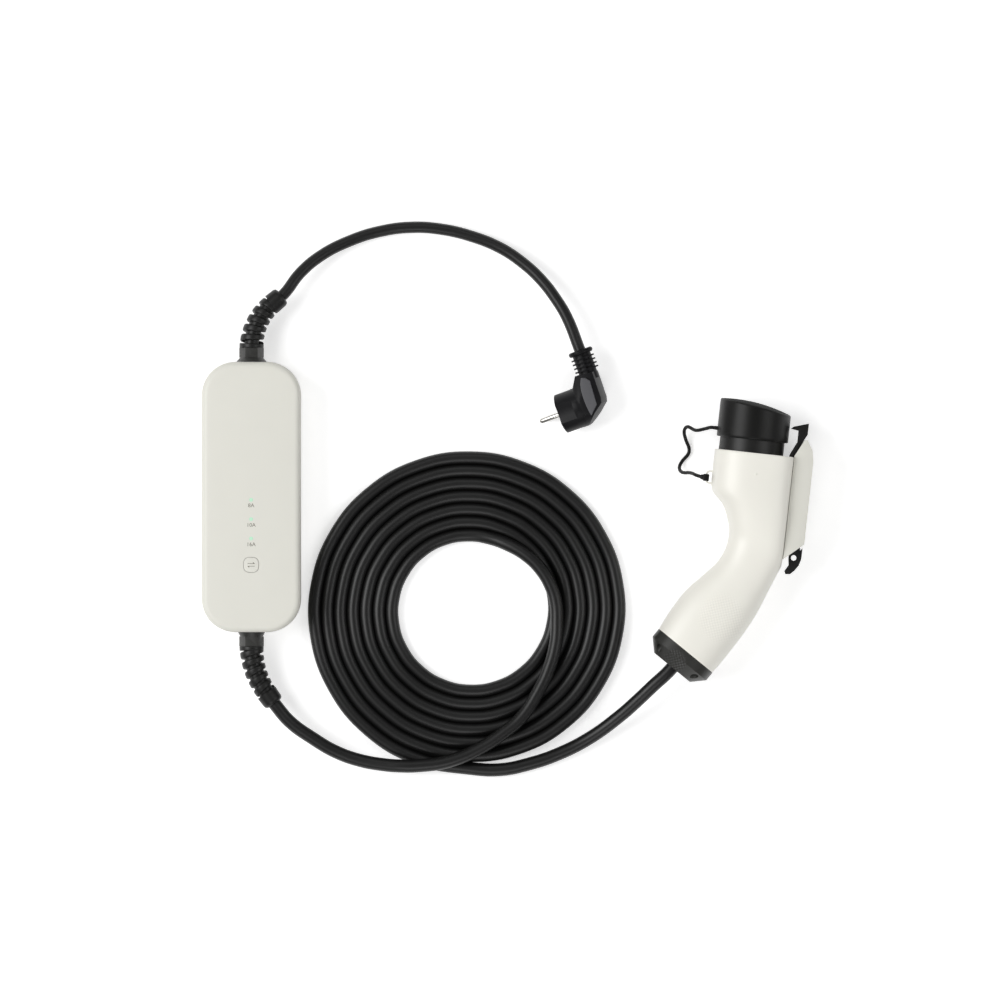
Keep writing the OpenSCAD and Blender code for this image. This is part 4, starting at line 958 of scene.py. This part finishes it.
class CHARGER_OT_dust_cap(bpy.types.Operator):
    """Adds the dust cap: a cup with a domed, slanting top and the boss of the tether"""

    bl_idname = "charger.dust_cap"
    bl_label = "Dust cap"

    def execute(self, context):
        rows = [(r, CAP_TOP_WALL, 0.0) for r in (3, 10, 17, 23, 27, CAP_BORE - 0.4)]
        rows += [(CAP_BORE, CAP_TOP_WALL, 0.5), (CAP_BORE, None, 0.5)]
        rows += [(CAP_BORE + 0.4, None, 0.1), (CAP_BORE + 0.7, None, 0.0)]
        rows += [(CAP_R - 1.0, None, 0.0), (CAP_R - 0.4, None, 0.25), (CAP_R, None, 0.9), (CAP_R, None, 3.0)]
        for i in range(7):
            t = math.radians(15 * i)
            rows.append((CAP_R - CAP_ROUND * (1 - math.cos(t)), 0.0, CAP_ROUND * (1 - math.sin(t))))
        rows += [(r, 0.0, 0.0) for r in (28, 24, 18, 12, 6, 2)]
        cap = loft("dust_cap", [self.ring(*row) for row in rows])
        none_selected()
        bpy.ops.mesh.primitive_cylinder_add(vertices=32, radius=CAP_BOSS_R, depth=1)
        boss = named("cap_boss")
        for v in boss.data.vertices:
            v.co = gun_point(CAP_BOSS[0] + CAP_BOSS_L * (v.co.z + 0.5), CAP_BOSS[1] + v.co.y, v.co.x)
        round_edges(boss, 0.3)
        outward(boss)
        cap.select_set(True)
        bpy.context.view_layer.objects.active = cap
        bpy.ops.object.join()
        smooth(cap, 40)
        dress(cap, "black_rubber")
        self.matt_dome(cap)
        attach(cap, "cap")
        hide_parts("dust_cap")
        return {"FINISHED"}

    def matt_dome(self, cap):
        """Gives the faces of the dome their matt finish."""
        cap.data.materials.append(finish("dome_matt"))
        outward = gun_point(0, 1) - gun_point(0, 0)
        for face in cap.data.polygons:
            beyond_rim = (face.center - gun_point(0, CAP_EDGE + 5)).dot(outward) > 0
            if beyond_rim and face.normal.dot(outward) > 0.8 * outward.length:
                face.material_index = 1

    def ring(self, r, depth, step):
        """A ring round the nose: below the dome by a depth and a step, or above the rim by the step alone."""
        row = []
        for i in range(72):
            x, w = r * math.cos(math.radians(5 * i)), r * math.sin(math.radians(5 * i))
            v = CAP_EDGE + step
            if depth is not None:
                far = (x - CAP_DOME_AT[0]) ** 2 + w * w
                v = CAP_DOME_AT[1] + math.sqrt((CAP_DOME_R - depth) ** 2 - far) - step
            row.append(gun_point(x, v, w))
        return row


# The skins that stand for solids, by node
skins = {}


class CHARGER_OT_mouldings(bpy.types.Operator):
    """Gives the plain mouldings rounded edges and smooth curves, each in the shape of its solid"""

    bl_idname = "charger.mouldings"
    bl_label = "Mouldings"

    # Node, finish, body and the rounding of its edges in millimetres
    pieces = (
        ("front_cover", "box_white", "charger", 0.0), ("rear_cover", "box_white", "charger", 0.0),
        ("current_key", "box_white", "key", 0.25), ("plug_body", "plug_black", "charger", 0.5),
        ("plug_pins", "pin_metal", "charger", 0.0),
        ("nose_collar", "black_plastic", "charger", 0.0), ("nose_insert", "black_plastic", "charger", 0.0),
        ("latch_lever", "black_plastic", "latch", 0.5),
    )
    # Node, finish, slot and rounding of those whose finish isn't named as their slot is
    toned_pieces = (
        ("latch_cover", "cover_white", "gun_white", 0.9),
        # Painted light: the end cap's finish is a lighter copy of the black, for light on its upward faces
        ("gun_end_cap", "end_cap_black", "black_plastic", 0.0),
        # Painted light: the glands' finish is a lighter copy of the black, for light on their upward faces
        ("supply_gland", "gland_black", "black_plastic", 0.4),
        ("lead_gland", "gland_black", "black_plastic", 0.4),
    )

    def execute(self, context):
        for node, finish_name, body, edge in self.pieces:
            piece = skins[node] = self.copy(node, edge)
            dress(piece, finish_name)
            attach(piece, body)
            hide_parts(node)
        for node, finish_name, slot, edge in self.toned_pieces:
            piece = self.copy(node, edge)
            dress(piece, finish_name)
            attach(piece, "charger")
            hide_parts(node)
        self.spring()
        self.panel()
        return {"FINISHED"}

    def spring(self):
        """The latch's return spring, a copy of its solid in steel."""
        spring = self.copy("latch_spring", 0.0)
        dress(spring, "steel")
        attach(spring, "charger")
        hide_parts("latch_spring")
        foot = gun_point(SEAM_U, SPRING_V)
        along = gun_point(SEAM_U + 1, SPRING_V) - foot
        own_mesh(spring)

    def panel(self):
        """The raised panel on the slope of the plug's back, drawn by its outline and let into the slope."""
        none_selected()
        bpy.ops.mesh.primitive_circle_add(vertices=len(PANEL), radius=1, fill_type="NGON")
        panel = skins["plug_panel"] = named("plug_panel")
        for v, (x, y) in zip(panel.data.vertices, PANEL):
            v.co = plug_point(x, y, self.slope(x) - PANEL_ROOT)
        bpy.ops.object.mode_set(mode="EDIT")
        bpy.ops.mesh.select_all(action="SELECT")
        bpy.ops.mesh.extrude_region_move(TRANSFORM_OT_translate={
            "value": plug_point(0, 0, PANEL_ROOT + PANEL_RISE) - plug_point(0, 0, 0)})
        outward(panel)
        round_edges(panel, 0.5)
        smooth(panel, 32)
        # Painted light: the panel's grey is lighter than the plug's black, for the light on its upward face
        dress(panel, "panel_grey")
        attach(panel, "charger")

    def slope(self, x):
        """The height of the slope of the plug's back."""
        return PLUG_R - (PLUG_R - PLUG_BACK_R) * (x - PLUG_FACE) / (PLUG_DEPTH - PLUG_FACE)

    def round_collar(self, piece):
        """Rounds the two rims of the collar at the end of the plug's neck."""
        bpy.ops.mesh.select_all(action="DESELECT")
        bpy.ops.mesh.select_mode(type="EDGE")
        mesh = bmesh.from_edit_mesh(piece.data)
        turned_back = Euler((0, PLUG_LEAN, PLUG_TURN)).to_matrix().inverted()
        places = [turned_back @ (v.co / MM - Vector(PLUG_AT)) for v in mesh.verts]
        rim = [min(abs(at.y - end) for end in (PLUG_COLLAR, PLUG_CORD[1])) < 0.05
               and abs(math.hypot(at.x - PLUG_CORD[0], at.z) - COLLAR_R) < 0.05 for at in places]
        mesh.verts.index_update()
        for edge in mesh.edges:
            edge.select_set(all(rim[v.index] for v in edge.verts))
        bmesh.update_edit_mesh(piece.data)
        bpy.ops.mesh.bevel(offset=COLLAR_ROUND * MM, segments=5)

    def copy(self, node, edge):
        none_selected()
        piece = bpy.data.objects.new(node + "_skin", frame["nodes"][node].data.copy())
        bpy.context.collection.objects.link(piece)
        active(piece)
        bpy.ops.mesh.customdata_custom_splitnormals_clear()
        bpy.ops.object.mode_set(mode="EDIT")
        bpy.ops.mesh.select_all(action="SELECT")
        bpy.ops.mesh.remove_doubles(threshold=0.002 * MM)
        if edge:
            bpy.ops.mesh.dissolve_limited(angle_limit=math.radians(0.3))
        if node == "plug_body":
            self.round_collar(piece)
        bpy.ops.object.mode_set(mode="OBJECT")
        if edge:
            round_edges(piece, edge, 32)
        smooth(piece, 32)
        return piece


class CHARGER_OT_prints(bpy.types.Operator):
    """Prints the current marks under the lamps and the arrows on the key"""

    bl_idname = "charger.prints"
    bl_label = "Prints"

    def execute(self, context):
        for words, y in zip(LABELS, LABEL_Y):
            place = (0.0, y, BOX_H + PRINT_GAP + PRINT_T / 2)
            mark = self.words("mark_" + words.lower(), words, LABEL_H, place)
            dress(mark, "print_grey")
            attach(mark, "charger")
        for side in (1, -1):
            arrow = self.arrow("key_arrow_up" if side > 0 else "key_arrow_down", side)
            dress(arrow, "print_grey")
            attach(arrow, "key")
        return {"FINISHED"}

    def words(self, name, words, height, place):
        none_selected()
        bpy.ops.object.text_add()
        text = named(name)
        text.data.body = words
        text.data.size = height * MM
        text.data.align_x = "CENTER"
        text.data.align_y = "CENTER"
        text.data.resolution_u = 4
        text.data.extrude = PRINT_T / 2 * MM
        active(text)
        bpy.ops.object.convert(target="MESH")
        merged(text)
        text.location = Vector(place) * MM
        bpy.ops.object.transform_apply(location=True)
        return text

    def arrow(self, name, side):
        """A half-headed arrow, printed flat: the second is the first turned half round."""
        none_selected()
        bpy.ops.mesh.primitive_circle_add(vertices=len(ARROW), radius=1, fill_type="NGON")
        obj = named(name)
        for v, (x, y) in zip(obj.data.vertices, ARROW):
            v.co = Vector((x * side, KEY_Y + y * side, BOX_H + PRINT_GAP)) * MM
        outward(obj)
        if obj.data.polygons[0].normal.z < 0:
            obj.data.flip_normals()
        apply_modifier(obj, "SOLIDIFY", thickness=PRINT_T * MM, offset=1)
        return obj


class CHARGER_OT_inner_parts(bpy.types.Operator):
    """Gives every solid that still shows its finish"""

    bl_idname = "charger.inner_parts"
    bl_label = "Inner parts"

    def execute(self, context):
        slots = {p["node"]: p["material_slot"] for p in frame["record"]["subparts"]}
        for node, obj in frame["nodes"].items():
            obj.data.materials.clear()
            obj.data.materials.append(finish(slots[node]))
        return {"FINISHED"}


class CHARGER_PT_panel(bpy.types.Panel):
    """Lists the steps and the settings"""

    bl_label = "Charger"
    bl_idname = "CHARGER_PT_panel"
    bl_space_type = "VIEW_3D"
    bl_region_type = "UI"
    bl_category = "Charger"

    def draw(self, context):
        for step in STEPS:
            self.layout.operator(step.bl_idname)
        for name in ChargerSettings.__annotations__:
            self.layout.prop(settings(), name)


STEPS = (
    CHARGER_OT_stage, CHARGER_OT_mouldings, CHARGER_OT_gun_body, CHARGER_OT_dust_cap, CHARGER_OT_cords,
    CHARGER_OT_tether, CHARGER_OT_spirals, CHARGER_OT_prints, CHARGER_OT_inner_parts,
)


def register():
    for cls in (ChargerSettings, *STEPS, CHARGER_PT_panel):
        bpy.utils.register_class(cls)
    bpy.types.Scene.charger = bpy.props.PointerProperty(type=ChargerSettings)


def unregister():
    del bpy.types.Scene.charger
    for cls in (CHARGER_PT_panel, *reversed(STEPS), ChargerSettings):
        bpy.utils.unregister_class(cls)


def main():
    register()
    bpy.ops.charger.stage()
    bpy.ops.charger.mouldings()
    bpy.ops.charger.gun_body()
    bpy.ops.charger.dust_cap()
    bpy.ops.charger.cords()
    bpy.ops.charger.tether()
    bpy.ops.charger.spirals()
    bpy.ops.charger.prints()
    bpy.ops.charger.inner_parts()


if __name__ == "__main__":
    main()
